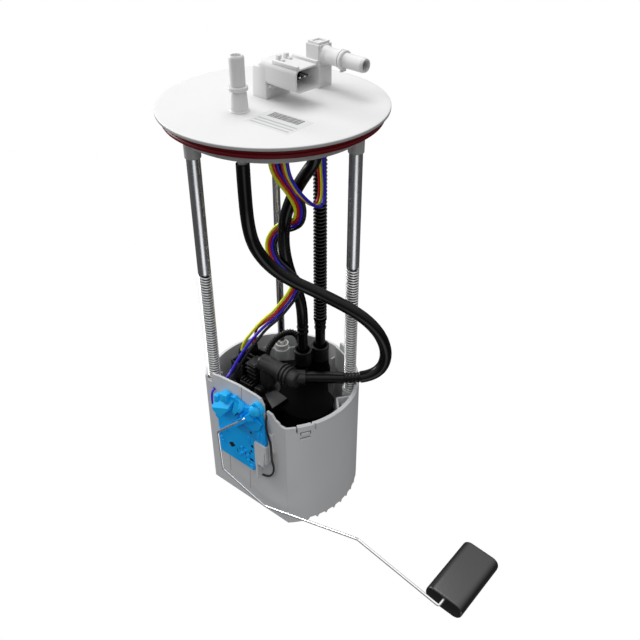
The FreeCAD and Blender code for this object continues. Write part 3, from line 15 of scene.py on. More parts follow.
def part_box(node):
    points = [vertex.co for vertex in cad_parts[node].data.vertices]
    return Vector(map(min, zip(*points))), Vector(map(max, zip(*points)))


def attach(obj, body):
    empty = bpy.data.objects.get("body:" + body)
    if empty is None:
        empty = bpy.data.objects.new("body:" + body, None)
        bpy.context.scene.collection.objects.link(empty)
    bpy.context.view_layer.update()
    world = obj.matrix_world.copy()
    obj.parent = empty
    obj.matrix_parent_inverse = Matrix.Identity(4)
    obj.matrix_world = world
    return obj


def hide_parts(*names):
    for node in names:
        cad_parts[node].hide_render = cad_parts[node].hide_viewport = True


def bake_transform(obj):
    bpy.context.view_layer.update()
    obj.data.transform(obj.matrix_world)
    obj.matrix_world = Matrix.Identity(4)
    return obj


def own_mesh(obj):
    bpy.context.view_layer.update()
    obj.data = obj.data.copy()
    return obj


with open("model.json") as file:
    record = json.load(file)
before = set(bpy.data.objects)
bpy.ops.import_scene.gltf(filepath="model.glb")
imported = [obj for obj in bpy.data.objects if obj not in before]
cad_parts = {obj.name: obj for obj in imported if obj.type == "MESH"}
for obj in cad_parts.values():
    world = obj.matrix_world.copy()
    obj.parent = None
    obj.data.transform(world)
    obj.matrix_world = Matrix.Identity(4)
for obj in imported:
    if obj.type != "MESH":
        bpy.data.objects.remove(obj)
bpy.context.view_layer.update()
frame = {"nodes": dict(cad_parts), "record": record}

MM = 0.001
RESERVOIR = "reservoir"
COVER = "cover_group"
ARM = "arm_group"
FLOAT = "float_body"


def new_object(name, data):
    obj = bpy.data.objects.new(name, data)
    bpy.context.scene.collection.objects.link(obj)
    return obj


# %% [markdown]
# ## Camera
# The view is the photo's: from the right front, looking down by 35 degrees.

# %% Camera
camera_data = bpy.data.cameras.new("camera")
camera_data.lens = 43.9
camera_data.sensor_width = 36
camera = new_object("camera", camera_data)
camera.location = (331.7 * MM, -355.6 * MM, 503.8 * MM)
camera.rotation_euler = (math.radians(90 - 35.25), 0, math.radians(39.5))
bpy.context.scene.camera = camera
bpy.context.scene.view_settings.view_transform = "Standard"

# %% [markdown]
# ## Sizes
# Millimetres in the CAD frame, the same names as in the part's source. Only what the drawing needs is here.

# %% Sizes
PLATE_TOP = 331.0
PLATE_LOW = 328.7
COVER_RADIUS = 75.0
SKIRT_RADIUS = 63.0
SKIRT_WALL = 2.6
SKIRT_LOW = 316.2
BOSS_LOW = 295.0
SEAL_RADIUS = 71.8
SEAL_LOW = 322.3
COVER_TURN = math.radians(-4.0)
ROD_RING = 54.0
ROD_LEFT = math.radians(-136.0)
ROD_RIGHT = math.radians(44.0)
ROD_REAR = math.radians(133.0)
ROD_RADIUS = 4.75
LOWER_ROD_RADIUS = 3.0
REAR_ROD_RADIUS = 2.9
SPRING_TOP = 205.7
SPRING_LOW = 90.0
ROD_LOW = 66.4
CUP_RADIUS = 61.2
CUP_TOP = 104.8
CUP_FLAT = 44.6
PIPE_RADIUS = 4.745
BEAD_RADIUS = 6.22
NIPPLE = (-5.0, -25.5)
RETURN_FOOT = (-4.5, 30.2)
VAPOUR_FOOT = (2.5, 44.0)
SOCKET_TOP = 113.0
SHELL_X = -5.0
SHELL_Y = -1.2
SHELL_Z = 340.5
SHELL_LENGTH = 27.0
SHELL_WIDTH = 21.5
SHELL_HEIGHT = 15.0
SHELL_WALL = 1.3
SHELL_CORNER = 3.6
SHELL_DEPTH = 17.0
SHELL_FRONT = SHELL_X + SHELL_LENGTH
SHELL_BACK = SHELL_FRONT - SHELL_DEPTH
SHELL_ROOF = SHELL_Z + SHELL_HEIGHT
FLOAT_TILT = 5.9


def on_ring(radius, angle):
    return radius * math.cos(angle), radius * math.sin(angle)


# %% [markdown]
# ## Node helpers
# Every shader and every Geometry Nodes tree is built with the same few helpers.

# %% Node helpers
GROUP_OUTPUTS = {"Normal": "Vector", "Value": "Float", "Geometry": "Geometry"}


def add_node(tree, kind, output, inputs=(), **settings):
    """Adds a node and gives one of its outputs. Inputs are values, or outputs of other nodes to link."""
    node = tree.nodes.new(kind)
    for name, value in settings.items():
        setattr(node, name, value)
    for title, value in dict(inputs).items():
        if isinstance(value, bpy.types.NodeSocket):
            tree.links.new(value, node.inputs[title])
        else:
            node.inputs[title].default_value = value
    return node.outputs[output]


def math_node(tree, operation, *values):
    """Calculates with numbers and outputs of other nodes."""
    return add_node(tree, "ShaderNodeMath", 0, enumerate(values), operation=operation)


def vector_node(tree, operation, output, *values):
    """Calculates with vectors. The output is Vector or Value."""
    return add_node(tree, "ShaderNodeVectorMath", output, enumerate(values), operation=operation)


def new_group(name, kind, inputs, output):
    """A node tree with the sockets that it is given and the one that it gives. Inputs are sorted by type."""
    group = bpy.data.node_groups.new(name, kind)
    for socket, titles in inputs.items():
        for title in titles:
            group.interface.new_socket(title, in_out="INPUT", socket_type="NodeSocket" + socket)
    group.interface.new_socket(output, in_out="OUTPUT", socket_type="NodeSocket" + GROUP_OUTPUTS[output])
    return group, group.nodes.new("NodeGroupInput").outputs, group.nodes.new("NodeGroupOutput").inputs[output]


# %% [markdown]
# ## Material groups
# Two node groups are shared. One rounds edges and adds a moulded grain, the other breaks up the gloss.

# %% Material groups
def make_surface_group():
    """Normal with soft edges and a fine grain, both in metres."""
    group, given, result = new_group(
        "Soft edges and grain", "ShaderNodeTree", {"Float": ("Edge", "Grain scale", "Grain")}, "Normal")
    place = add_node(group, "ShaderNodeTexCoord", "Object")
    noise = add_node(group, "ShaderNodeTexNoise", "Fac",
                     {"Vector": place, "Scale": given["Grain scale"], "Detail": 3.0})
    bevel = add_node(group, "ShaderNodeBevel", "Normal", {"Radius": given["Edge"]}, samples=4)
    bump = add_node(group, "ShaderNodeBump", "Normal",
                    {"Height": noise, "Strength": given["Grain"], "Normal": bevel, "Distance": 0.0002})
    group.links.new(bump, result)
    return group


def make_patch_group():
    """A value that drifts between two limits over the surface, for roughness."""
    group, given, result = new_group(
        "Slow drift", "ShaderNodeTree", {"Float": ("Scale", "Low", "High")}, "Value")
    place = add_node(group, "ShaderNodeTexCoord", "Object")
    noise = add_node(group, "ShaderNodeTexNoise", "Fac",
                     {"Vector": place, "Scale": given["Scale"], "Detail": 4.0})
    spread = add_node(group, "ShaderNodeMapRange", "Result", {
        "Value": noise, "From Min": 0.3, "From Max": 0.7, "To Min": given["Low"], "To Max": given["High"]})
    group.links.new(spread, result)
    return group


surface_group = make_surface_group()
patch_group = make_patch_group()

# %% [markdown]
# ## Materials
# Plastics, rubbers and metals come from one builder each, then every colour has its own line.

# %% Materials
materials = {}


def base_material(name, color, rough, edge, grain, grain_scale, drift_scale):
    """A colour with soft edges, fine grain and a roughness that drifts between two values."""
    material = bpy.data.materials.new(name)
    materials[name] = material
    material.use_nodes = True
    tree = material.node_tree
    shader = tree.nodes["Principled BSDF"]
    shader.inputs["Base Color"].default_value = (*color, 1)
    surface = add_node(tree, "ShaderNodeGroup", "Normal", {
        "Edge": edge, "Grain": grain, "Grain scale": grain_scale}, node_tree=surface_group)
    drift = add_node(tree, "ShaderNodeGroup", "Value", {
        "Scale": drift_scale, "Low": rough[0], "High": rough[1]}, node_tree=patch_group)
    tree.links.new(surface, shader.inputs["Normal"])
    tree.links.new(drift, shader.inputs["Roughness"])
    return shader


def plastic(name, color, rough=(0.38, 0.5), grain=0.12, gloss=0.5):
    """Moulded plastic or rubber."""
    shader = base_material(name, color, rough, edge=0.0004, grain=grain, grain_scale=1400.0, drift_scale=60.0)
    shader.inputs["Specular IOR Level"].default_value = gloss


def metal(name, color, rough=(0.1, 0.2), metallic=1.0):
    """Polished or drawn metal. A value of metallic below 1 gives a dull plated look."""
    shader = base_material(name, color, rough, edge=0.0002, grain=0.02, grain_scale=500.0, drift_scale=90.0)
    shader.inputs["Metallic"].default_value = metallic


def mix_in_painted_shade(material, darker, factor):
    """Paints shade into the colour: mixes from a darker shade to the material's own colour as the factor goes
    from 0 to 1.
    """
    tree = material.node_tree
    shader = tree.nodes["Principled BSDF"]
    light = tuple(shader.inputs["Base Color"].default_value)
    dark = tuple(channel * darker for channel in light[:3]) + (1.0,)
    mix = add_node(tree, "ShaderNodeMix", "Result", {
        "A": dark, "B": light, "Factor": factor}, data_type="RGBA")
    tree.links.new(mix, shader.inputs["Base Color"])


def shade_below(material, height, darker):
    """Darkens the colour below a height in the object's own space, on the side that faces away from light."""
    tree = material.node_tree
    place = add_node(tree, "ShaderNodeTexCoord", "Object")
    level = add_node(tree, "ShaderNodeSeparateXYZ", "Z", {"Vector": place})
    spread = add_node(tree, "ShaderNodeMapRange", "Result", {
        "Value": level, "From Min": (height - 0.5) * MM, "From Max": height * MM})
    mix_in_painted_shade(material, darker, spread)


def crest_spread(material, start, end, high):
    """A value from 0 to high as the crest attribute of a ridge or coil goes from start to end."""
    tree = material.node_tree
    crest = add_node(tree, "ShaderNodeAttribute", "Fac", attribute_name="crest")
    return add_node(tree, "ShaderNodeMapRange", "Result", {
        "Value": crest, "From Min": start, "From Max": end, "To Max": high})


def shine_on_crests(material, gloss):
    """Lets the ridges of a hose catch the light and keeps the grooves between them dull."""
    tree = material.node_tree
    shader = tree.nodes["Principled BSDF"]
    tree.links.new(crest_spread(material, 0.35, 0.9, gloss), shader.inputs["Specular IOR Level"])


def paint_shade_on_coil(material, darker):
    """Paints shade on the inner side of a coil's wire, so that its turns stand apart."""
    mix_in_painted_shade(material, darker, crest_spread(material, 0.0, 0.5, 1.0))


plastic("grey_plastic", (0.625, 0.63, 0.635))
plastic("cover_plastic", (0.66, 0.66, 0.655), rough=(0.42, 0.52))
plastic("black_plastic", (0.006, 0.006, 0.007), rough=(0.26, 0.36), gloss=0.4)
plastic("white_plastic", (0.7, 0.7, 0.66))
plastic("blue_plastic", (0.002, 0.43, 1.0), rough=(0.3, 0.4), grain=0.05, gloss=0.3)
plastic("black_hose", (0.002, 0.002, 0.0026), rough=(0.17, 0.23), grain=0.03, gloss=0.3)
plastic("ridged_hose", (0.002, 0.002, 0.0026), rough=(0.2, 0.26), grain=0.03)
plastic("red_rubber", (0.15, 0.002, 0.006), rough=(0.35, 0.45), grain=0.05, gloss=0.2)
plastic("black_foam", (0.004, 0.004, 0.0043), rough=(0.26, 0.32), grain=0.08, gloss=1.0)
metal("rod_steel", (0.72, 0.73, 0.75), rough=(0.24, 0.3))
metal("spring_steel", (1.0, 1.0, 0.99), rough=(0.26, 0.34))
metal("zinc_steel", (0.7, 0.7, 0.7), rough=(0.2, 0.3))
metal("contact_metal", (0.8, 0.79, 0.76))
plastic("magnet", (0.04, 0.04, 0.045))
plastic("ceramic", (0.008, 0.36, 0.85), rough=(0.2, 0.3))
plastic("paper", (0.6, 0.5, 0.3), rough=(0.7, 0.8))
plastic("mesh_fabric", (0.6, 0.6, 0.55), rough=(0.7, 0.8))
plastic("etched", (0.6, 0.6, 0.6), rough=(0.6, 0.7))
plastic("print", (0.1, 0.1, 0.1), rough=(0.5, 0.6))
plastic("strip", (0.42, 0.42, 0.42), rough=(0.6, 0.7))
metal("plated_wire", (0.86, 0.87, 0.88), rough=(0.2, 0.28), metallic=0.88)
# A lighter copy of the blue plastic: painted light on the sender's sloped hood and on the rotor's dome.
plastic("blue_with_painted_light", (0.008, 0.49, 1.0), rough=(0.25, 0.35), grain=0.05, gloss=0.4)
plastic("matt_black", (0.0015, 0.0015, 0.0016), rough=(0.3, 0.45), gloss=0.04)
plastic("head_black", (0.016, 0.016, 0.017), rough=(0.3, 0.4))
# Near-black for dark joints, and for painted shade in the connector's back, round the snap window and in the
# sender's pockets.
plastic("dark_joint_and_painted_shade", (0.02, 0.02, 0.02), rough=(0.6, 0.7), gloss=0.1)
plastic("shade", (0.075, 0.075, 0.078), rough=(0.4, 0.5))

WIRE_COLOURS = {
    "yellow": (0.85, 0.9, 0.02), "red": (0.62, 0.012, 0.01), "blue": (0.03, 0.012, 0.6),
    "black": (0.006, 0.006, 0.007),
}
for colour, shade in WIRE_COLOURS.items():
    plastic("wire_" + colour + "_skin", shade, rough=(0.25, 0.35), grain=0.0)

OWN_FINISH = {
    "module_cap": "matt_black", "filter_housing": "matt_black", "pump_carrier": "matt_black",
    "terminal_plug": "matt_black", "pressure_head": "head_black",
}

shade_below(materials["cover_plastic"], PLATE_TOP - 0.2, darker=0.62)
shine_on_crests(materials["ridged_hose"], gloss=0.9)
# Painted shade on the spring wire's inner side, toward the rod.
paint_shade_on_coil(materials["spring_steel"], darker=0.12)

for entry in frame["record"]["subparts"]:
    drawn = frame["nodes"][entry["node"]]
    drawn.data.materials.clear()
    drawn.data.materials.append(materials[OWN_FINISH.get(entry["node"], entry["material_slot"])])


# %% [markdown]
# ## Mesh helpers
# Pieces are made in millimetres and written in metres. Their objects stay at the origin.

# %% Mesh helpers
def settled(obj, body, replaces):
    """Hides the CAD parts that the piece replaces and attaches it to the body that it rides on."""
    if replaces:
        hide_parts(*replaces)
    if body:
        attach(obj, body)
    return obj


def finished(name, bm, material, body, replaces=(), sharp=40.0):
    """Writes the mesh, shades it smooth up to the sharp angle and lets it ride on its body."""
    bmesh.ops.recalc_face_normals(bm, faces=bm.faces)
    bmesh.ops.scale(bm, vec=(MM, MM, MM), verts=bm.verts)
    mesh = bpy.data.meshes.new(name)
    bm.to_mesh(mesh)
    bm.free()
    mesh.materials.append(materials[material])
    mesh.shade_smooth()
    mesh.set_sharp_from_angle(angle=math.radians(sharp))
    settled(new_object(name, mesh), body, replaces)


def piece(name, material, body, replaces=(), sharp=40.0):
    """Makes a piece with the drawing function that stands below it."""
    def make(draw):
        bm = bmesh.new()
        draw(bm)
        finished(name, bm, material, body, replaces, sharp)
        return draw
    return make


def lathe(bm, outline, x=0.0, y=0.0, steps=96, turn=Matrix.Identity(4)):
    """Turns a closed outline of (radius, height) into bm. Points on the axis are shared."""
    angles = [math.tau * i / steps for i in range(steps)]
    rings = []
    for radius, height in outline:
        if radius < 1e-6:
            rings.append([bm.verts.new((0, 0, height))] * steps)
        else:
            rings.append([bm.verts.new((radius * math.cos(a), radius * math.sin(a), height)) for a in angles])
    for low, high in zip(rings, rings[1:] + rings[:1]):
        for i in range(steps):
            j = (i + 1) % steps
            corners = list(dict.fromkeys((low[i], low[j], high[j], high[i])))
            if len(corners) > 2:
                bm.faces.new(corners)
    verts = list({v for ring in rings for v in ring})
    bmesh.ops.transform(bm, matrix=Matrix.Translation((x, y, 0)) @ turn, verts=verts)


def rounded_box(bm, low, high, radius=0.5, steps=2, matrix=None):
    """A box with rounded edges between two corners."""
    made = bmesh.ops.create_cube(bm, size=1.0)["verts"]
    size = Vector(high) - Vector(low)
    middle = (Vector(high) + Vector(low)) / 2
    bmesh.ops.scale(bm, vec=size, verts=made)
    bmesh.ops.translate(bm, vec=middle, verts=made)
    if matrix is not None:
        bmesh.ops.transform(bm, matrix=matrix, verts=made)
    edges = list({e for v in made for e in v.link_edges})
    if radius > 0:
        bmesh.ops.bevel(bm, geom=edges, offset=radius, segments=steps, profile=0.5, affect="EDGES")


def prism(bm, outline, low, high, radius=0.0, plane="XY", matrix=None):
    """A closed outline pushed from low to high across its plane, with rounded edges where radius is given."""
    def place(u, v, w):
        return {"XY": (u, v, w), "XZ": (u, w, v), "YZ": (w, u, v)}[plane]
    bottom = [bm.verts.new(place(u, v, low)) for u, v in outline]
    top = [bm.verts.new(place(u, v, high)) for u, v in outline]
    faces = [bm.faces.new(bottom[::-1]), bm.faces.new(top)]
    count = len(outline)
    for i in range(count):
        j = (i + 1) % count
        faces.append(bm.faces.new((bottom[i], bottom[j], top[j], top[i])))
    verts = bottom + top
    if matrix is not None:
        bmesh.ops.transform(bm, matrix=matrix, verts=verts)
    if radius > 0:
        edges = list({e for f in faces for e in f.edges})
        bmesh.ops.bevel(bm, geom=edges, offset=radius, segments=2, profile=0.5, affect="EDGES")


def loft(bm, loops, matrix=None):
    """Skin over closed loops of equal length, closed at both ends."""
    rings = [[bm.verts.new(point) for point in loop] for loop in loops]
    for low, high in zip(rings, rings[1:]):
        for i in range(len(low)):
            j = (i + 1) % len(low)
            bm.faces.new((low[i], low[j], high[j], high[i]))
    bm.faces.new(rings[0][::-1])
    bm.faces.new(rings[-1])
    if matrix is not None:
        bmesh.ops.transform(bm, matrix=matrix, verts=[v for ring in rings for v in ring])


def hull(bm, front_y, front, back_y, back):
    """Convex body between an outline (x, z) in front and one behind it."""
    points = [(x, front_y, z) for x, z in front] + [(x, back_y, z) for x, z in back]
    made = [bm.verts.new(point) for point in points]
    result = bmesh.ops.convex_hull(bm, input=made)
    bmesh.ops.delete(bm, geom=[v for v in result["geom_interior"] if isinstance(v, bmesh.types.BMVert)],
                     context="VERTS")


def rounded_rectangle(low, high, radius, steps=5):
    """Points of a rectangle with rounded corners, between two corners (u, v)."""
    points = []
    corners = ((high[0], high[1], 0), (low[0], high[1], 90), (low[0], low[1], 180), (high[0], low[1], 270))
    for u, v, start in corners:
        centre_u = u - radius if u == high[0] else u + radius
        centre_v = v - radius if v == high[1] else v + radius
        for i in range(steps + 1):
            a = math.radians(start + 90 * i / steps)
            points.append((centre_u + radius * math.cos(a), centre_v + radius * math.sin(a)))
    return points


def wall_patch(bm, start, end, low, high, inner, outer, steps=6):
    """A piece of a round wall between two angles in degrees."""
    loops = []
    for i in range(steps + 1):
        a = math.radians(start + (end - start) * i / steps)
        corners = ((inner, low), (outer, low), (outer, high), (inner, high))
        loops.append([(r * math.cos(a), r * math.sin(a), z) for r, z in corners])
    loft(bm, loops)


def rounding(radius, height, size, up):
    """Points of a quarter arc that rounds the outer edge of a turned outline at (radius, height)."""
    points = []
    for degrees in (0, 22.5, 45, 67.5, 90):
        a = math.radians(degrees)
        if up:
            points.append((radius - size + size * math.cos(a), height - size + size * math.sin(a)))
        else:
            points.append((radius - size + size * math.sin(a), height + size - size * math.cos(a)))
    return points


# %% [markdown]
# ## Routes
# The chosen points of every hose and wire, the same as in the CAD source.

# %% Routes
SUPPLY_ROUTE = [
    (-5, -25.5, 296), (-5, -25.5, 280), (-3.4, -26, 252), (-4.6, -19.6, 231), (0.8, -10.2, 213),
    (11.4, 0.8, 200), (24.6, 13.6, 189.5), (41.5, 25.4, 178.5), (54.5, 35, 167), (63.5, 41.8, 153),
    (68, 45, 137.5), (67.8, 42.6, 124.5), (62, 37.1, 116), (51.3, 27.8, 112.8),
]
RETURN_ROUTE = [
    (17, 22, 296), (17, 22, 288), (9.5, 20, 277), (0.9, 18.1, 262), (-6, 16.6, 245), (-10.4, 17.4, 228),
    (-13.8, 20.8, 210), (-13.6, 24.6, 191), (-9.6, 28.4, 173), (-4.5, 30.2, 156), (-4.5, 30.2, 139),
]
BRIDGE_ROUTE = [
    (-29.8, 12, 90), (-29.8, 12, 100), (-30.6, 15.5, 109.5), (-27.6, 25.5, 118.5), (-22.2, 36, 120),
    (-16, 39.2, 114.5), (-14.6, 38.4, 101.5), (-14.6, 38.4, 90),
]
LOOM_ROUTE = [
    (4.4, -4.4, 300), (4.4, -4.4, 289), (4.6, 4, 276), (6.8, 10.4, 266), (6.8, 18.6, 251), (3.4, 20.8, 238),
    (-7, 25.4, 228.5), (-19.6, 22.6, 222.5), (-23.6, 16.8, 212), (-17.4, 14.6, 200), (-6.4, 17.4, 191.5),
    (-0.6, 22.2, 184), (-3, 20.6, 174), (-8.6, 17.6, 163), (-14, 10.8, 152.5), (-20, 2.2, 145),
]
LOOM_ENDS = {
    "black": [(-21.5, -6, 134), (-27, -14, 121), (-31, -24, 106), (-30.6, -33.4, 95.6),
              (-27, -39.2, 92.6)],
    "blue": [(-24.5, -5.5, 136.5), (-30.6, -15, 122), (-33.4, -26.4, 107), (-33, -35, 104.4),
             (-32.6, -42.3, 104)],
    "yellow": [(-28, -4.4, 138.5), (-35.6, -5.6, 127), (-40.4, -5.6, 114), (-40.4, -5.6, 106)],
    "red": [(-29, 2, 139), (-36, 7.6, 126), (-39.4, 9.4, 114), (-39.4, 9.4, 106)],
}
JUMPER_ROUTE = [
    (12, -4.4, 300), (12, -4.4, 289), (12.2, 4.2, 273), (14.4, 12.6, 261.5), (15.4, 22, 253),
    (15.6, 28.6, 252.6), (14.4, 32.4, 263), (12.2, 32.8, 282), (12.2, 32.8, 300),
]
SENDER_BLUE_ROUTE = [(-32.6, -44.3, 104), (-32.6, -46.6, 103.8), (-32.2, -48.2, 100.6), (-31.8, -48.8, 96.4),
                     (-31.8, -48.8, 92)]
SENDER_BLACK_ROUTE = [
    (-27, -40.6, 92.4), (-14, -40.4, 94.6), (2, -40.4, 98.4), (14, -40.2, 101.8), (21.4, -40.6, 104),
    (22.8, -44.6, 105.2), (24.8, -47, 101.6), (25.4, -47.6, 96), (28, -47.75, 88.6), (29.4, -47.75, 83),
    (29.4, -47.75, 74), (30, -47.75, 66), (31, -46.8, 59), (29, -46.8, 50.5), (23.4, -47, 44.4),
    (18.2, -47, 43.8),
]
WIRE_RADIUS = 1.18
WIRE_SPACING = 2.4
LOOM_LEAN = 0.4
LEAD_RADIUS = 0.85
HEAD_Y = -2.5
HEAD_Z = 112.0
BRANCH_X = 11.5
BRANCH_ANGLE = math.radians(39.5)


def on_branch(reach):
    return (BRANCH_X + reach * math.cos(BRANCH_ANGLE), HEAD_Y + reach * math.sin(BRANCH_ANGLE), HEAD_Z)


def beside(points, side):
    """The route again, moved sideways across its own direction. An upright end run stays upright."""
    corners = [Vector(p) for p in points]
    reference = Vector((0.35, -0.55, 0.2))
    moved = []
    last = len(corners) - 1
    for i, corner in enumerate(corners):
        ahead = corners[min(i + 1, last)] - corners[max(i - 1, 0)]
        across = ahead.cross(reference).normalized()
        moved.append(tuple(corner + across * side))
    for end, neighbour in ((0, 1), (last, last - 1)):
        if points[end][:2] == points[neighbour][:2]:
            moved[end] = (moved[neighbour][0], moved[neighbour][1], points[end][2])
    return moved


# %% [markdown]
# ## Hose tool
# A Geometry Nodes tree sweeps a round section along a route. Ridges follow the length of a corrugated hose.

# %% Hose tool
RIDGE_SHARPNESS = 2.6
CURVE_ORDER = 3


def mark_crests(tree, geometry, crest):
    """Stores the height of ridges or coils as an attribute that the materials read."""
    return add_node(tree, "GeometryNodeStoreNamedAttribute", "Geometry", {
        "Geometry": geometry, "Name": "crest", "Value": crest}, data_type="FLOAT", domain="POINT")


def close_tree(tree, given, result, mesh):
    """Ends a tree with smooth shading, real geometry and the material."""
    smooth = add_node(tree, "GeometryNodeSetShadeSmooth", "Geometry", {"Geometry": mesh})
    real = add_node(tree, "GeometryNodeRealizeInstances", "Geometry", {"Geometry": smooth})
    painted = add_node(tree, "GeometryNodeSetMaterial", "Geometry", {
        "Geometry": real, "Material": given["Material"]})
    tree.links.new(painted, result)


def make_hose_tree():
    tree, given, result = new_group(
        "Hose along route", "GeometryNodeTree", {
            "Geometry": ("Geometry",), "Int": ("Sides",), "Material": ("Material",),
            "Float": ("Radius", "Step", "Ridge height", "Ridge pitch", "Ridge start", "Ridge end"),
        }, "Geometry")
    length = add_node(tree, "GeometryNodeSplineParameter", "Length")
    turns = math_node(tree, "DIVIDE", length, given["Ridge pitch"])
    wave = math_node(tree, "COSINE", math_node(tree, "MULTIPLY", turns, math.tau))
    half_wave = math_node(tree, "MULTIPLY", math_node(tree, "ADD", wave, 1.0), 0.5)
    crest = math_node(tree, "POWER", half_wave, RIDGE_SHARPNESS)
    groove = math_node(tree, "SUBTRACT", 1.0, crest)
    after_start = math_node(tree, "GREATER_THAN", length, given["Ridge start"])
    before_end = math_node(tree, "LESS_THAN", length, given["Ridge end"])
    ridged = math_node(tree, "MULTIPLY", after_start, before_end)
    dip = math_node(tree, "MULTIPLY", math_node(tree, "MULTIPLY", groove, ridged), given["Ridge height"])
    size = math_node(tree, "SUBTRACT", given["Radius"], dip)
    even = add_node(tree, "GeometryNodeResampleCurve", "Curve", {
        "Curve": given["Geometry"], "Length": given["Step"]}, mode="LENGTH")
    marked = mark_crests(tree, even, crest)
    thick = add_node(tree, "GeometryNodeSetCurveRadius", "Curve", {"Curve": marked, "Radius": size})
    circle = add_node(tree, "GeometryNodeCurvePrimitiveCircle", "Curve", {
        "Resolution": given["Sides"], "Radius": 1.0})
    swept = add_node(tree, "GeometryNodeCurveToMesh", "Mesh", {
        "Curve": thick, "Profile Curve": circle, "Scale": size, "Fill Caps": True})
    close_tree(tree, given, result, swept)
    return tree


hose_tree = make_hose_tree()


def as_mesh(source, name, tree, values):
    """Runs a tree on an object, keeps the result as a plain mesh and removes the source."""
    modifier = source.modifiers.new("make", "NODES")
    modifier.node_group = tree
    for item in tree.interface.items_tree:
        if item.in_out == "INPUT" and item.name in values:
            modifier[item.identifier] = values[item.name]
    graph = bpy.context.evaluated_depsgraph_get()
    mesh = bpy.data.meshes.new_from_object(source.evaluated_get(graph), preserve_all_data_layers=True,
                                           depsgraph=graph)
    mesh.name = name
    source.modifiers.remove(modifier)
    bpy.data.objects.remove(source)
    return new_object(name, mesh)


def route_curve(name, points):
    """The route as a quadratic curve that touches every run's middle."""
    curve = bpy.data.curves.new(name, "CURVE")
    curve.dimensions = "3D"
    curve.resolution_u = 16
    spline = curve.splines.new("NURBS")
    spline.points.add(len(points) - 1)
    for point, (x, y, z) in zip(spline.points, points):
        point.co = (x * MM, y * MM, z * MM, 1)
    spline.order_u = CURVE_ORDER
    spline.use_endpoint_u = True
    return new_object(name, curve)


def hose(node, points, radius, material, body, ridge=0.0, pitch=3.0, ridge_span=(0.0, 1000.0), sides=24,
         step=1.0):
    """A tube along a route, as a plain mesh. It has the name of the CAD node that it replaces."""
    values = {
        "Radius": radius * MM, "Ridge height": ridge * MM, "Ridge pitch": pitch * MM, "Step": step * MM,
        "Ridge start": ridge_span[0] * MM, "Ridge end": ridge_span[1] * MM, "Sides": sides,
        "Material": materials[material],
    }
    name = node.replace("_", "-")
    return settled(as_mesh(route_curve(name, points), name, hose_tree, values), body, (node,))


def held_hose(node, points, radius, material, body, span=None, **shape):
    """A hose or wire that the object holds at both ends. Where a span is given, its placement is baked into
    the mesh.
    """
    obj = hose(node, points, radius, material, body, **shape)
    if span:
        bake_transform(obj)


# %% [markdown]
# ## Hoses
# The supply hose is smooth with a short ribbed end. The vapour hose is corrugated over its whole length.

# %% Hoses
SUPPLY_RADIUS = 4.65
RETURN_RADIUS = 4.5
VAPOUR_RADIUS = 5.4
BRIDGE_RADIUS = 3.0
BEND_SPAN = (142, 290)
SUPPLY_SPAN = (112, 294)

held_hose("supply_hose", SUPPLY_ROUTE + [on_branch(29), on_branch(11)], SUPPLY_RADIUS, "black_hose", None,
          SUPPLY_SPAN, ridge=0.9, pitch=2.8, ridge_span=(239, 251.6), sides=32, step=0.4)
held_hose("return_hose", RETURN_ROUTE, RETURN_RADIUS, "black_hose", None, BEND_SPAN, sides=32)
held_hose("vapour_hose", [(*VAPOUR_FOOT, 139), (*VAPOUR_FOOT, 296)], VAPOUR_RADIUS, "ridged_hose", None,
          BEND_SPAN, ridge=2, pitch=3, ridge_span=(3, 154), sides=32, step=0.375)
held_hose("bridge_tube", BRIDGE_ROUTE, BRIDGE_RADIUS, "black_hose", RESERVOIR, ridge=0.7, pitch=1.9,
          ridge_span=(9, 64), step=0.3)

# %% [markdown]
# ## Wires
# Four wires run in the loom from the cover down to the cup, and three jumpers turn back up into the cover.
# The level sender has two leads. The short blue one is drawn without being declared as a cord.

# %% Wires
for place, colour in enumerate(("black", "blue", "red", "yellow")):
    points = beside(LOOM_ROUTE, (place + LOOM_LEAN - 1.5) * WIRE_SPACING) + LOOM_ENDS[colour]
    held_hose("wire_" + colour, points, WIRE_RADIUS, "wire_" + colour + "_skin", None, BEND_SPAN, sides=16)

for place, colour in enumerate(("red", "yellow", "blue")):
    points = [(x + (place - 1) * WIRE_SPACING, y, z) for x, y, z in JUMPER_ROUTE]
    held_hose("jumper_" + colour, points, WIRE_RADIUS, "wire_" + colour + "_skin", COVER, sides=16)

hose("sender_lead_blue", SENDER_BLUE_ROUTE, LEAD_RADIUS, "wire_blue_skin", RESERVOIR, sides=12)
held_hose("sender_lead_black", SENDER_BLACK_ROUTE, LEAD_RADIUS, "wire_black_skin", RESERVOIR, sides=12)

# %% [markdown]
# ## Guide rods
# The two front rods are thick chrome sleeves that step down to the rods inside the springs.

# %% Guide rods
def spring_rod(side, angle):
    bm = bmesh.new()
    x, y = on_ring(ROD_RING, angle)
    outline = [(0, ROD_LOW), (LOWER_ROD_RADIUS - 0.6, ROD_LOW), (LOWER_ROD_RADIUS, ROD_LOW + 0.6),
               (LOWER_ROD_RADIUS, SPRING_TOP), (ROD_RADIUS - 0.5, SPRING_TOP)]
    outline += rounding(ROD_RADIUS, SPRING_TOP, 0.5, up=False)
    outline += [(ROD_RADIUS, PLATE_LOW - 4), (0, PLATE_LOW - 4)]
    lathe(bm, outline, x, y, steps=64)
    finished("guide-rod-" + side, bm, "rod_steel", COVER, ("guide_rod_" + side,))


spring_rod("left", ROD_LEFT)
spring_rod("right", ROD_RIGHT)


@piece("guide-rod-rear", "rod_steel", COVER, ("guide_rod_rear",))
def draw_guide_rod_rear(bm):
    x, y = on_ring(ROD_RING, ROD_REAR)
    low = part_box("guide_rod_rear")[0].z / MM
    outline = [(0, low)] + rounding(REAR_ROD_RADIUS, low, 0.6, up=False)
    outline += [(REAR_ROD_RADIUS, PLATE_LOW - 4), (0, PLATE_LOW - 4)]
    lathe(bm, outline, x, y, steps=48)
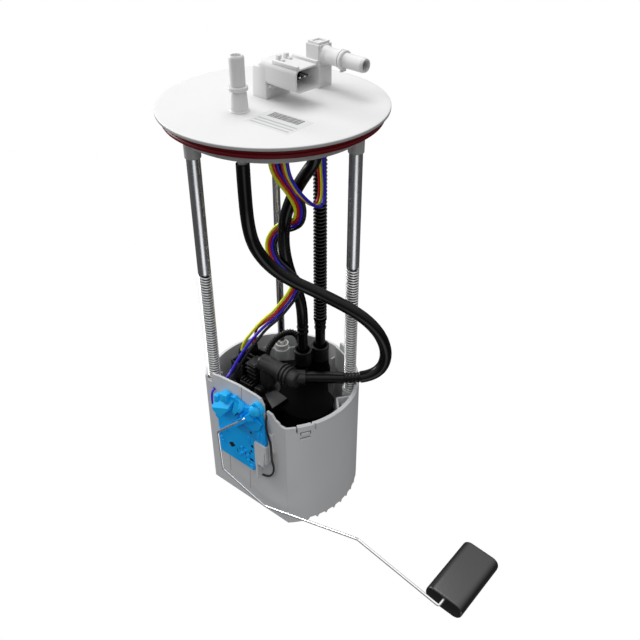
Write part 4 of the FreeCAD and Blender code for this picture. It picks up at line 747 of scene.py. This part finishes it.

# %% [markdown]
# ## Springs
# A Geometry Nodes tree winds the wire.

# %% Springs
def make_coil_tree():
    tree, given, result = new_group(
        "Coil spring", "GeometryNodeTree", {
            "Geometry": ("Geometry",), "Vector": ("Middle",), "Material": ("Material",),
            "Float": ("Coil radius", "Height", "Wire radius", "Turns"),
        }, "Geometry")
    spiral = add_node(tree, "GeometryNodeCurveSpiral", "Curve", {
        "Resolution": 40, "Rotations": given["Turns"], "Start Radius": given["Coil radius"],
        "End Radius": given["Coil radius"], "Height": given["Height"]})
    moved = add_node(tree, "GeometryNodeTransform", "Geometry", {
        "Geometry": spiral, "Translation": given["Middle"]})
    section = add_node(tree, "GeometryNodeCurvePrimitiveCircle", "Curve", {
        "Resolution": 10, "Radius": given["Wire radius"]})
    swept = add_node(tree, "GeometryNodeCurveToMesh", "Mesh", {
        "Curve": moved, "Profile Curve": section, "Fill Caps": True})
    place = add_node(tree, "GeometryNodeInputPosition", "Position")
    from_middle = vector_node(tree, "SUBTRACT", "Vector", place, given["Middle"])
    level = vector_node(tree, "MULTIPLY", "Vector", from_middle, (1, 1, 0))
    reach = vector_node(tree, "LENGTH", "Value", level)
    outward = math_node(tree, "SUBTRACT", reach, given["Coil radius"])
    marked = mark_crests(tree, swept, math_node(tree, "DIVIDE", outward, given["Wire radius"]))
    close_tree(tree, given, result, marked)
    return tree


coil_tree = make_coil_tree()


def spring(name, node, middle, span, outer_radius, wire, turns):
    """A coil between two heights."""
    x, y = middle
    low = span[0] + wire / 2
    high = span[1] - wire / 2
    values = {
        "Coil radius": (outer_radius - wire / 2) * MM, "Wire radius": wire / 2 * MM, "Turns": float(turns),
        "Height": (high - low) * MM, "Middle": (x * MM, y * MM, low * MM),
        "Material": materials["spring_steel"],
    }
    obj = as_mesh(new_object(name, bpy.data.meshes.new(name)), name, coil_tree, values)
    settled(obj, RESERVOIR, (node,))
    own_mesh(obj)


for side, angle in (("left", ROD_LEFT), ("right", ROD_RIGHT)):
    spring("spring-" + side, "spring_" + side, on_ring(ROD_RING, angle), (SPRING_LOW, SPRING_TOP),
           outer_radius=4.9, wire=1.4, turns=50)

valve_low, valve_high = (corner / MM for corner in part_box("check_valve_spring"))
valve_middle = ((valve_low.x + valve_high.x) / 2, (valve_low.y + valve_high.y) / 2)
spring("valve-spring", "check_valve_spring", valve_middle, (valve_low.z, valve_high.z), outer_radius=2.1,
       wire=0.5, turns=5)

# %% [markdown]
# ## Cover
# Flange, skirt and rod bosses are turned shapes. The fittings on top stand a little askew on the cover.

# %% Cover
fittings = Matrix.Rotation(COVER_TURN, 4, "Z")


def pipe_end_outline(base_radius, base_height, bead_low, height):
    """Foot, pipe, bead and rounded tip of a quick-connect end."""
    bore = 3.1
    foot = [(bore, -6), (base_radius + 0.8, -6), (base_radius + 0.8, 0.4), (base_radius, 1.2),
            (PIPE_RADIUS + 0.5, base_height), (PIPE_RADIUS, base_height + 0.6), (PIPE_RADIUS, bead_low)]
    bead = []
    for degrees in (-90, -60, -30, -1, 1, 30, 60, 90):
        a = math.radians(degrees)
        middle = bead_low + 1.35 + math.copysign(0.65, degrees)
        bead.append((BEAD_RADIUS - 0.7 + 0.7 * math.cos(a), middle + 0.7 * math.sin(a)))
    tip = [(PIPE_RADIUS, bead_low + 2.7), (PIPE_RADIUS, height - 1.6), (PIPE_RADIUS - 0.25, height - 0.7),
           (PIPE_RADIUS - 0.8, height), (bore + 0.3, height), (bore, height - 0.5)]
    return foot + bead + tip


@piece("cover-plate", "cover_plastic", COVER, ("cover",))
def draw_cover_plate(bm):
    bore = SKIRT_RADIUS - SKIRT_WALL
    plate_outline = [(0, PLATE_LOW), (bore, PLATE_LOW), (bore, SKIRT_LOW + 0.4), (bore + 0.4, SKIRT_LOW)]
    plate_outline += rounding(SKIRT_RADIUS, SKIRT_LOW, 0.6, up=False)
    plate_outline += [(SKIRT_RADIUS, PLATE_LOW), (COVER_RADIUS - 0.5, PLATE_LOW)]
    plate_outline += rounding(COVER_RADIUS, PLATE_LOW, 0.5, up=False)
    plate_outline += rounding(COVER_RADIUS, PLATE_TOP, 0.7, up=True)
    plate_outline += [(COVER_RADIUS - 3, PLATE_TOP), (0, PLATE_TOP)]
    lathe(bm, plate_outline, steps=256)
    for angle in (ROD_LEFT, ROD_RIGHT, ROD_REAR):
        x, y = on_ring(ROD_RING, angle)
        inner = REAR_ROD_RADIUS if angle == ROD_REAR else ROD_RADIUS
        boss = [(inner, BOSS_LOW), (5.3, BOSS_LOW)] + rounding(5.6, BOSS_LOW, 0.3, up=False)
        boss += [(6, PLATE_LOW), (inner, PLATE_LOW)]
        lathe(bm, boss, x, y, steps=64)
    for x, y in (NIPPLE, RETURN_ROUTE[0][:2], VAPOUR_FOOT):
        stub = [(0, 296), (3.2, 296), (3.2, 306), (5.1, 306), (5.4, 306.3), (5.4, PLATE_LOW), (0, PLATE_LOW)]
        lathe(bm, stub, x, y, steps=48)
    pipe_end = pipe_end_outline(base_radius=5.8, base_height=11, bead_low=12.9, height=34)
    nipple_outline = [(r, z + PLATE_TOP) for r, z in pipe_end]
    lathe(bm, nipple_outline, *NIPPLE, steps=72)
    pedestal = [(-18, 330.5), (-16.8, 350), (-16, 350.9), (-5, 350.9), (-5, 330.5)]
    prism(bm, pedestal, SHELL_Y, SHELL_Y + SHELL_WIDTH, 0.35, plane="XZ", matrix=fittings)
    rounded_box(bm, (-13.5, SHELL_Y + 0.1, SHELL_Z), (-1, SHELL_Y + SHELL_WIDTH - 0.1, SHELL_ROOF - 0.1), 3.4,
                5, fittings)
    gusset = [(-5.5, SHELL_Z - 3.6), (-5, SHELL_Z - 3.6), (-1.4, SHELL_Z), (-5.5, SHELL_Z)]
    prism(bm, gusset, SHELL_Y + 2, SHELL_Y + SHELL_WIDTH - 2, plane="XZ", matrix=fittings)
    rounded_box(bm, (-7.6, 37.3, 330.5), (4.8, 49.7, 345), 0.6, matrix=fittings)


@piece("seal-ring", "red_rubber", COVER, ("seal_ring",))
def draw_seal_ring(bm):
    seal_inner = SKIRT_RADIUS + 0.2
    seal_middle = (SEAL_LOW + PLATE_LOW) / 2
    seal = [(seal_inner, SEAL_LOW)]
    for centre in (SEAL_LOW + 1.7, PLATE_LOW - 1.7):
        for degrees in range(-80, 81, 20):
            a = math.radians(degrees)
            seal.append((SEAL_RADIUS - 1.6 + 1.6 * math.cos(a), centre + 1.6 * math.sin(a)))
        if centre < seal_middle:
            seal.append((SEAL_RADIUS - 1.5, seal_middle))
    seal += [(SEAL_RADIUS - 1.6, PLATE_LOW), (seal_inner, PLATE_LOW)]
    lathe(bm, seal, steps=256)

# %% [markdown]
# ## Connector
# A rounded shell, open toward the camera's right, with rails, latch posts and a near-black plate behind the
# blades that paints the shade inside it.

# %% Connector
def shell_loop(x, inset):
    """The shell's rounded outline at x, drawn in by the inset."""
    low = (SHELL_Y + inset, SHELL_Z + inset)
    high = (SHELL_Y + SHELL_WIDTH - inset, SHELL_Z + SHELL_HEIGHT - inset)
    return [(x, y, z) for y, z in rounded_rectangle(low, high, SHELL_CORNER - inset)]


@piece("connector-shell", "cover_plastic", COVER, ("connector_shell",))
def draw_connector_shell(bm):
    profile = ((SHELL_X, 0), (SHELL_FRONT - 0.5, 0), (SHELL_FRONT - 0.15, 0.12), (SHELL_FRONT, 0.4),
               (SHELL_FRONT, SHELL_WALL - 0.3), (SHELL_FRONT - 0.4, SHELL_WALL), (SHELL_BACK, SHELL_WALL))
    loft(bm, [shell_loop(x, inset) for x, inset in profile], fittings)
    middle = SHELL_Y + SHELL_WIDTH / 2
    foot = SHELL_ROOF - 0.6
    for y in (SHELL_Y + 1.2, SHELL_Y + SHELL_WIDTH - 3.4):
        rounded_box(bm, (SHELL_X + 5, y, foot), (SHELL_FRONT, y + 2.2, SHELL_ROOF + 1.6), 0.25,
                    matrix=fittings)
    for y in (middle - 4.4, middle + 2):
        rounded_box(bm, (SHELL_X + 3, y, foot), (SHELL_X + 6, y + 2.6, SHELL_ROOF + 3.2), 0.3,
                    matrix=fittings)
        rounded_box(bm, (SHELL_X + 5.4, y + 0.3, foot), (SHELL_X + 9.4, y + 2.3, SHELL_ROOF + 1.2), 0.3,
                    matrix=fittings)


# A near-black plate at the back of the shell: painted shade inside the connector.
@piece("connector-back-painted-shade", "dark_joint_and_painted_shade", COVER)
def draw_connector_back_painted_shade(bm):
    rounded_box(bm, (SHELL_BACK - 0.1, SHELL_Y + 1.2, SHELL_Z + 1.2),
                (SHELL_BACK + 0.5, SHELL_Y + SHELL_WIDTH - 1.2, SHELL_ROOF - 1.2), 0, matrix=fittings)

# %% [markdown]
# ## Marks on the cover
# A bare etched field on the cover's top, with plain strips and bars.

# %% Marks on the cover
@piece("etched-field", "etched", COVER)
def draw_etched_field(bm):
    rounded_box(bm, (9, -36, PLATE_TOP - 0.2), (44, -12, PLATE_TOP + 0.03), 0)


@piece("etched-strips", "strip", COVER)
def draw_etched_strips(bm):
    for y in (-26.4, -30, -33.6):
        rounded_box(bm, (11, y, PLATE_TOP - 0.1), (42, y + 1.5, PLATE_TOP + 0.05), 0)


@piece("etched-bars", "print", COVER)
def draw_etched_bars(bm):
    x = 13.8
    for i in range(26):
        width = 0.35 + 0.14 * (i * 7 % 4)
        rounded_box(bm, (x, -20.8, PLATE_TOP - 0.1), (x + width, -13.4, PLATE_TOP + 0.06), 0)
        x += width + 0.3 + 0.1 * (i * 5 % 3)

# %% [markdown]
# ## Cup details
# Fine joints on the flat and the snap window under the rim, with painted shade along the window's edges.

# %% Cup details
@piece("cup-joints-and-window-shade", "dark_joint_and_painted_shade", RESERVOIR)
def draw_cup_joints_and_window_shade(bm):
    for top, bottom in (((-1.5, 122), (-3, 105)), ((-21.4, 42.6), (-22.1, 19.6)), ((1.3, 35), (0.3, 13.6))):
        joint = [(top[0] - 0.14, top[1]), (bottom[0] - 0.14, bottom[1]), (bottom[0] + 0.14, bottom[1]),
                 (top[0] + 0.14, top[1])]
        prism(bm, joint, -CUP_FLAT - 0.03, -CUP_FLAT + 0.2, plane="XZ")
    # Thin near-black strips round the snap window: painted shade at its edges.
    for start, end, low, high, steps in ((-36, -28.4, 99.3, 99.9, 6), (-36.2, -35.6, 97, 99.9, 2),
                                         (-28.9, -28.4, 97, 99.9, 2), (-35, -29.6, 96, 96.3, 6)):
        wall_patch(bm, start, end, low, high, CUP_RADIUS - 0.3, CUP_RADIUS + 0.03, steps)


@piece("snap-window", "grey_plastic", RESERVOIR)
def draw_snap_window(bm):
    wall_patch(bm, -35, -29.6, 96.3, 98.4, CUP_RADIUS - 0.3, CUP_RADIUS + 0.5)

# %% [markdown]
# ## Inside the cup
# Boots on the pump's wires, a ribbed shroud round their plug, the fan on the cap and thin walls on the cup.

# %% Inside the cup
@piece("wire-boots", "black_hose", RESERVOIR)
def draw_wire_boots(bm):
    boot = [(1.12, 105.6), (3, 105.6), (3, 109.5), (2.5, 110.3), (2.1, 116), (1.12, 116)]
    for colour in ("yellow", "red"):
        lathe(bm, boot, *LOOM_ENDS[colour][-1][:2], steps=32)


@piece("socket-skins", "black_plastic", RESERVOIR)
def draw_socket_skins(bm):
    skin = [(6.9, SOCKET_TOP - 13), (7.26, SOCKET_TOP - 13), (7.26, SOCKET_TOP - 3.4), (7.6, SOCKET_TOP - 3),
            (7.6, SOCKET_TOP - 0.2), (7.3, SOCKET_TOP + 0.06), (6.2, SOCKET_TOP + 0.06),
            (6.2, SOCKET_TOP - 0.6), (6.9, SOCKET_TOP - 0.6)]
    for x, y in (RETURN_FOOT, VAPOUR_FOOT):
        lathe(bm, skin, x, y, steps=56)


@piece("plug-shroud", "black_plastic", RESERVOIR)
def draw_plug_shroud(bm):
    rounded_box(bm, (-46.4, -12.2, 89.2), (-45, 14.6, 107), 0.3)
    for y in (-12.2, -1.6, 3.4, 13.4):
        rounded_box(bm, (-46.2, y, 89.2), (-33.6, y + 1.2, 106.4), 0.3)
    rounded_box(bm, (-31.4, -9, 89.2), (-22.4, 3, 110), 0.8)
    for k in range(5):
        rounded_box(bm, (-32.2, -9.8, 91.6 + 4 * k), (-21.8, 3.8, 93 + 4 * k), 0.3)
    rounded_box(bm, (-33, -16.6, 89.2), (-20, -10.4, 95), 0.5)
    for k in range(4):
        rounded_box(bm, (-32.2 + 3.2 * k, -16, 94), (-31 + 3.2 * k, -11, 97.4), 0.25)
    rounded_box(bm, (-16, -17.2, 89.2), (-9.6, -11, 96.4), 0.6)
    shroud_cap = [(0, 89.2), (4.6, 89.2), (4.6, 97.4), (4, 98.2), (1.6, 98.4), (1.6, 100.4), (0, 100.4)]
    lathe(bm, shroud_cap, -13.4, -4.4, steps=40)


@piece("fan-top", "shade", RESERVOIR)
def draw_fan_top(bm):
    prism(bm, [(-8, -13.6), (8.3, -22.5), (9.4, -6), (-4.2, -4)], 91.1, 91.6, 0.2)


@piece("cup-walls", "grey_plastic", RESERVOIR)
def draw_cup_walls(bm):
    wall_patch(bm, 53, 78, 88, 109, 54.6, 55.8, 12)
    for start, end in (((54, 24.5), (44.8, 13.2)), ((44.8, 13.2), (56.8, 1))):
        way = (Vector(end) - Vector(start)).normalized() * 0.7
        aside = Vector((-way.y, way.x))
        corners = [Vector(start) - aside, Vector(end) - aside, Vector(end) + aside, Vector(start) + aside]
        prism(bm, [tuple(corner) for corner in corners], 62, 98.5)
    for start, end in ((-38.2, -27.6), (-26.4, 30)):
        wall_patch(bm, start, end, 101, CUP_TOP + 0.05, CUP_RADIUS - 3.4, CUP_RADIUS - 1, 24)

# %% [markdown]
# ## Level sender
# The blue body is drawn again: a plate with small ribs, and the sloped hood with its cubes, ridge and hub.
# The hood and the rotor's dome are a lighter blue that paints light on them; near-black patches paint the
# shade in the pockets.

# %% Level sender
SENDER_BACK = -44.9
SENDER_FRONT = -48.27
PIVOT = (17, 112.5)


def disc(middle, radius, count=24):
    return [(middle[0] + radius * math.cos(math.tau * i / count),
             middle[1] + radius * math.sin(math.tau * i / count)) for i in range(count)]


@piece("sender-plate", "blue_plastic", RESERVOIR, ("sender_body",), sharp=30)
def draw_sender_plate(bm):
    plate = [(-27.3, 43.8), (10.2, 43.8), (11.5, 52), (22, 58), (24, 80), (24, 98.5), (21, 103.5),
             (20.4, 109.5), (12, 109), (4.4, 108.2), (1.2, 108.3), (-4.1, 110.2), (-6.6, 111.6), (-22, 107),
             (-28.6, 101), (-29.9, 90), (-30.2, 80), (-27.3, 78)]
    prism(bm, plate, SENDER_FRONT, SENDER_BACK, plane="XZ")
    for middle in ((2.11, 99.53), (11.2, 112.46)):
        prism(bm, disc(middle, 0.97, 16), -51, SENDER_BACK, plane="XZ")
    for x, low, high in ((15.6, 80.4, 89.6), (19.8, 80.4, 90.6)):
        rounded_box(bm, (x, SENDER_FRONT - 0.55, low), (x + 2.4, SENDER_BACK, high), 0.3)
    for x, z, width, height in ((-3.2, 60.6, 2.4, 2.4), (1.2, 60.4, 2.4, 2.2), (-3.4, 55, 2.6, 2),
                                (3.2, 56, 2.2, 2.6), (-26.4, 64, 1.6, 5.4), (-26.2, 59, 2.6, 2.2),
                                (-24.4, 55.6, 2.2, 2.2), (6.6, 48, 3.4, 1.4), (6.8, 45, 3, 1.2),
                                (5.4, 72, 1.8, 7), (-0.6, 57.6, 1.6, 1.6), (3.4, 51.6, 2.4, 1.4),
                                (-4.8, 52, 1.4, 2.6), (-20.6, 69.6, 2.6, 3)):
        rounded_box(bm, (x, SENDER_FRONT - 0.9, z), (x + width, SENDER_FRONT + 0.3, z + height), 0.25)


# The hood wears the lighter blue: painted light on its slopes.
@piece("sender-hood", "blue_with_painted_light", RESERVOIR, sharp=30)
def draw_sender_hood(bm):
    hull(bm, -53, [(-28.5, 92.6), (-27.2, 90.4), (-23.6, 88), (-18.6, 88.6), (-9.8, 99.8), (-9.4, 101.6)],
         -46, [(-29.4, 93), (-27.6, 90), (-23.6, 87.2), (-18.2, 87.8), (-9, 99.6), (-6.6, 111.2),
               (-23, 107.6), (-28.4, 101.2)])
    rounded_box(bm, (-18.6, -52, 104), (-12.2, -45.4, 112), 0.5)
    rounded_box(bm, (-27.6, -50.6, 97), (-23.4, -46, 104.6), 0.5)
    hull(bm, -51, [(-7.6, 98.6), (-4.4, 95.4), (-2.6, 97.2), (-6, 101.4)], -47,
         [(-9.6, 99.6), (-4.6, 94.8), (-1.6, 97.4), (-2.4, 111), (-6.6, 111.4)])
    hull(bm, -50.3, [(-2.4, 101), (-0.6, 99.8), (2.8, 104.4), (0.6, 106.4)], -47,
         [(-3, 101.4), (-0.4, 99.2), (3.6, 104.4), (3.2, 109.4), (-2.6, 111)])
    prism(bm, disc(PIVOT, 5.6), -49.3, SENDER_BACK, 0.3, plane="XZ")


# Near-black patches: painted shade in the pockets of the plate and in the slot of the hood.
@piece("sender-pocket-painted-shade", "dark_joint_and_painted_shade", RESERVOIR)
def draw_sender_pocket_painted_shade(bm):
    pocket_shades = [[(-17.2, 58.4), (-14.1, 54.8), (-9.6, 58.8), (-12.6, 61.6)],
               [(-8.4, 57), (-7.4, 53.4), (-6.6, 53.6), (-7.6, 57.2)],
               [(-4.9, 96.6), (-4.2, 95.9), (-1.4, 99.4), (-2.2, 100)]]
    for x, z, width, height in ((8.2, 83.6, 2, 2.2), (8.2, 69, 2.6, 2.6), (6, 53.6, 4.2, 2.2),
                                (-1, 62.8, 1.6, 1), (-5.4, 58.6, 1.4, 1.4), (0.8, 56.4, 1.4, 2),
                                (5.2, 60, 2.2, 1.8), (7, 63.2, 2.4, 2), (-26.9, 60.6, 1, 2.4),
                                (1, 52.4, 1.4, 1)):
        pocket_shades.append([(x, z), (x + width, z - 0.3), (x + width - 0.3, z + height),
                        (x + 0.2, z + height - 0.2)])
    for outline in pocket_shades:
        front = -51.05 if outline[0][1] > 90 else SENDER_FRONT - 0.03
        prism(bm, outline, front, SENDER_FRONT + 0.3, plane="XZ")


# The dome wears the lighter blue: painted light on it.
@piece("rotor-dome", "blue_with_painted_light", ARM, sharp=30)
def draw_rotor_dome(bm):
    dome = [(0, 49.6), (4.7, 49.6), (4.7, 51), (4.3, 52.3), (3.3, 53.2), (1.9, 53.7), (0, 53.9)]
    mirrored = Matrix.Translation((PIVOT[0], 0, PIVOT[1])) @ Matrix.Scale(-1, 4, (0, 1, 0))
    lathe(bm, dome, steps=48, turn=mirrored @ Matrix.Rotation(math.radians(-90), 4, "X"))


@piece("sender-clip-face", "grey_plastic", RESERVOIR)
def draw_sender_clip_face(bm):
    for low_x, low_z, high_x, high_z in ((20.8, 58.6, 23.4, 72.4), (15.8, 55.6, 22, 59),
                                         (14.2, 60.6, 15, 76.6)):
        rounded_box(bm, (low_x, -49.75, low_z), (high_x, -48.35, high_z), 0.25)

# %% [markdown]
# ## Float and arm
# The arm is one bent wire. The float is a foam block with rounded long edges.

# %% Float and arm
ARM_PLANE = -52.3
ARM_CORNERS = [(7.1, 100.2), (-24.5, 68.6), (-22.7, 27.8), (23.9, 15.5), (116.9, 47.1), (187.7, 32.5)]
BEND = 3.2
FLOAT_WIDTH = 29.6
FLOAT_HEIGHT = 14.2
FLOAT_CORNER = 6.2


def wire_path(corners, bend):
    """The corners again, with a point before and after each one, so that only the corner is rounded."""
    points = [corners[0]]
    for before, corner, after in zip(corners, corners[1:], corners[2:]):
        back_way = (before - corner).normalized() * bend
        ahead_way = (after - corner).normalized() * bend
        points += [corner + back_way, corner, corner + ahead_way]
    return [tuple(p) for p in points + [corners[-1]]]


arm_corners = [Vector((ARM_CORNERS[0][0], -49.1, ARM_CORNERS[0][1]))]
arm_corners += [Vector((x, ARM_PLANE, z)) for x, z in ARM_CORNERS]
arm_corners.append(Vector((ARM_CORNERS[-1][0], -8, ARM_CORNERS[-1][1])))
hose("float_arm", wire_path(arm_corners, BEND), 1, "plated_wire", ARM, sides=20, step=0.5)


def float_loop(y, inset):
    """The float's rounded outline at y, drawn in by the inset."""
    high = (FLOAT_WIDTH / 2 - inset, FLOAT_HEIGHT / 2 - inset)
    low = (-high[0], -high[1])
    return [(x, y, z) for x, z in rounded_rectangle(low, high, FLOAT_CORNER - inset, 10)]


@piece("float-block", "black_foam", FLOAT, ("float",))
def draw_float_block(bm):
    tilt = Matrix.Translation((187.7, 0, 28.6)) @ Matrix.Rotation(math.radians(FLOAT_TILT), 4, "Y")
    profile = ((-46, 1), (-45.7, 0.4), (-45.2, 0.08), (-44.6, 0), (4.6, 0), (5.2, 0.08), (5.7, 0.4), (6, 1))
    loft(bm, [float_loop(y, inset) for y, inset in profile], tilt)

# %% [markdown]
# ## Cuffs
# Hard lower ends of the hoses, with two rings each.

# %% Cuffs
CUFF_RADIUS = 4.1
CUFF_LOW = 92.2
CUFF_TOP = 139.0


def draw_cuff(node, x, y):
    bm = bmesh.new()
    outline = [(0, CUFF_LOW), (CUFF_RADIUS, CUFF_LOW), (CUFF_RADIUS, 129.6)]
    for low in (129.8, 134.4):
        ring = ((0, 0), (0.5, 0.2), (0.7, 0.6), (0.7, 1.6), (0.5, 2), (0, 2.2))
        outline += [(CUFF_RADIUS + out, low + up) for out, up in ring]
    outline += [(CUFF_RADIUS, CUFF_TOP), (0, CUFF_TOP)]
    lathe(bm, outline, x, y, steps=48)
    finished(node.replace("_", "-"), bm, "black_hose", RESERVOIR, (node,))


draw_cuff("return_hose_cuff", *RETURN_FOOT)
draw_cuff("vapour_hose_cuff", *VAPOUR_FOOT)

# %% [markdown]
# ## Light and background
# Camera rays see plain white. All other rays see a studio that is bright overhead and dark below the horizon,
# with two soft cards near the floor that give the rods their stripe.

# %% Light and background
GROUND = 0.08
HORIZON = 0.3
OVERHEAD = 0.84
CARDS = (
    (-36.0, -38.0, 6.0, 26.0, 1.25),
    (-150.0, 12.0, 10.0, 40.0, 0.45),
)

world = bpy.data.worlds.new("world")
bpy.context.scene.world = world
world.use_nodes = True
sky = world.node_tree
sky.nodes.clear()


def ramp(value, low, high, out_low, out_high):
    """Smooth rise of the value's own range to another range."""
    return add_node(sky, "ShaderNodeMapRange", "Result", {
        "Value": value, "From Min": low, "From Max": high, "To Min": out_low, "To Max": out_high},
        interpolation_type="SMOOTHSTEP")


def card(direction, azimuth, elevation, inner, outer, strength):
    """A round soft card, seen from the object at this azimuth and elevation."""
    a, e = math.radians(azimuth), math.radians(elevation)
    toward = (math.cos(a) * math.cos(e), math.sin(a) * math.cos(e), math.sin(e))
    match = vector_node(sky, "DOT_PRODUCT", "Value", direction, toward)
    return ramp(match, math.cos(math.radians(outer)), math.cos(math.radians(inner)), 0.0, strength)


def make_sky():
    """The studio as other rays see it, with plain white for the camera's own rays."""
    direction = add_node(sky, "ShaderNodeTexCoord", "Generated")
    height = add_node(sky, "ShaderNodeSeparateXYZ", "Z", {"Vector": direction})
    studio = math_node(sky, "ADD", ramp(height, -0.15, 0.2, GROUND, HORIZON),
                       ramp(height, 0.1, 1.0, 0.0, OVERHEAD))
    for values in CARDS:
        studio = math_node(sky, "ADD", studio, card(direction, *values))
    is_camera = add_node(sky, "ShaderNodeLightPath", "Is Camera Ray")
    room = add_node(sky, "ShaderNodeBackground", "Background", {
        "Color": (0.985, 0.99, 1.0, 1), "Strength": studio})
    white = add_node(sky, "ShaderNodeBackground", "Background", {"Color": (1, 1, 1, 1)})
    shown = add_node(sky, "ShaderNodeMixShader", "Shader", {0: is_camera, 1: room, 2: white})
    sky.links.new(shown, sky.nodes.new("ShaderNodeOutputWorld").inputs["Surface"])


make_sky()


def light_panel(name, place, target, size, power):
    data = bpy.data.lights.new(name, "AREA")
    data.shape = "RECTANGLE"
    data.size, data.size_y = size
    data.energy = power
    obj = new_object(name, data)
    obj.location = place
    obj.rotation_euler = (Vector(target) - Vector(place)).to_track_quat("-Z", "Y").to_euler()


light_panel("top panel", (-0.2, 0.15, 1.2), target=(0, 0, 0.2), size=(0.5, 0.5), power=4.0)
light_panel("left panel", (-0.9, -0.16, 0.5), target=(0, 0, 0.08), size=(0.3, 0.45), power=6.0)
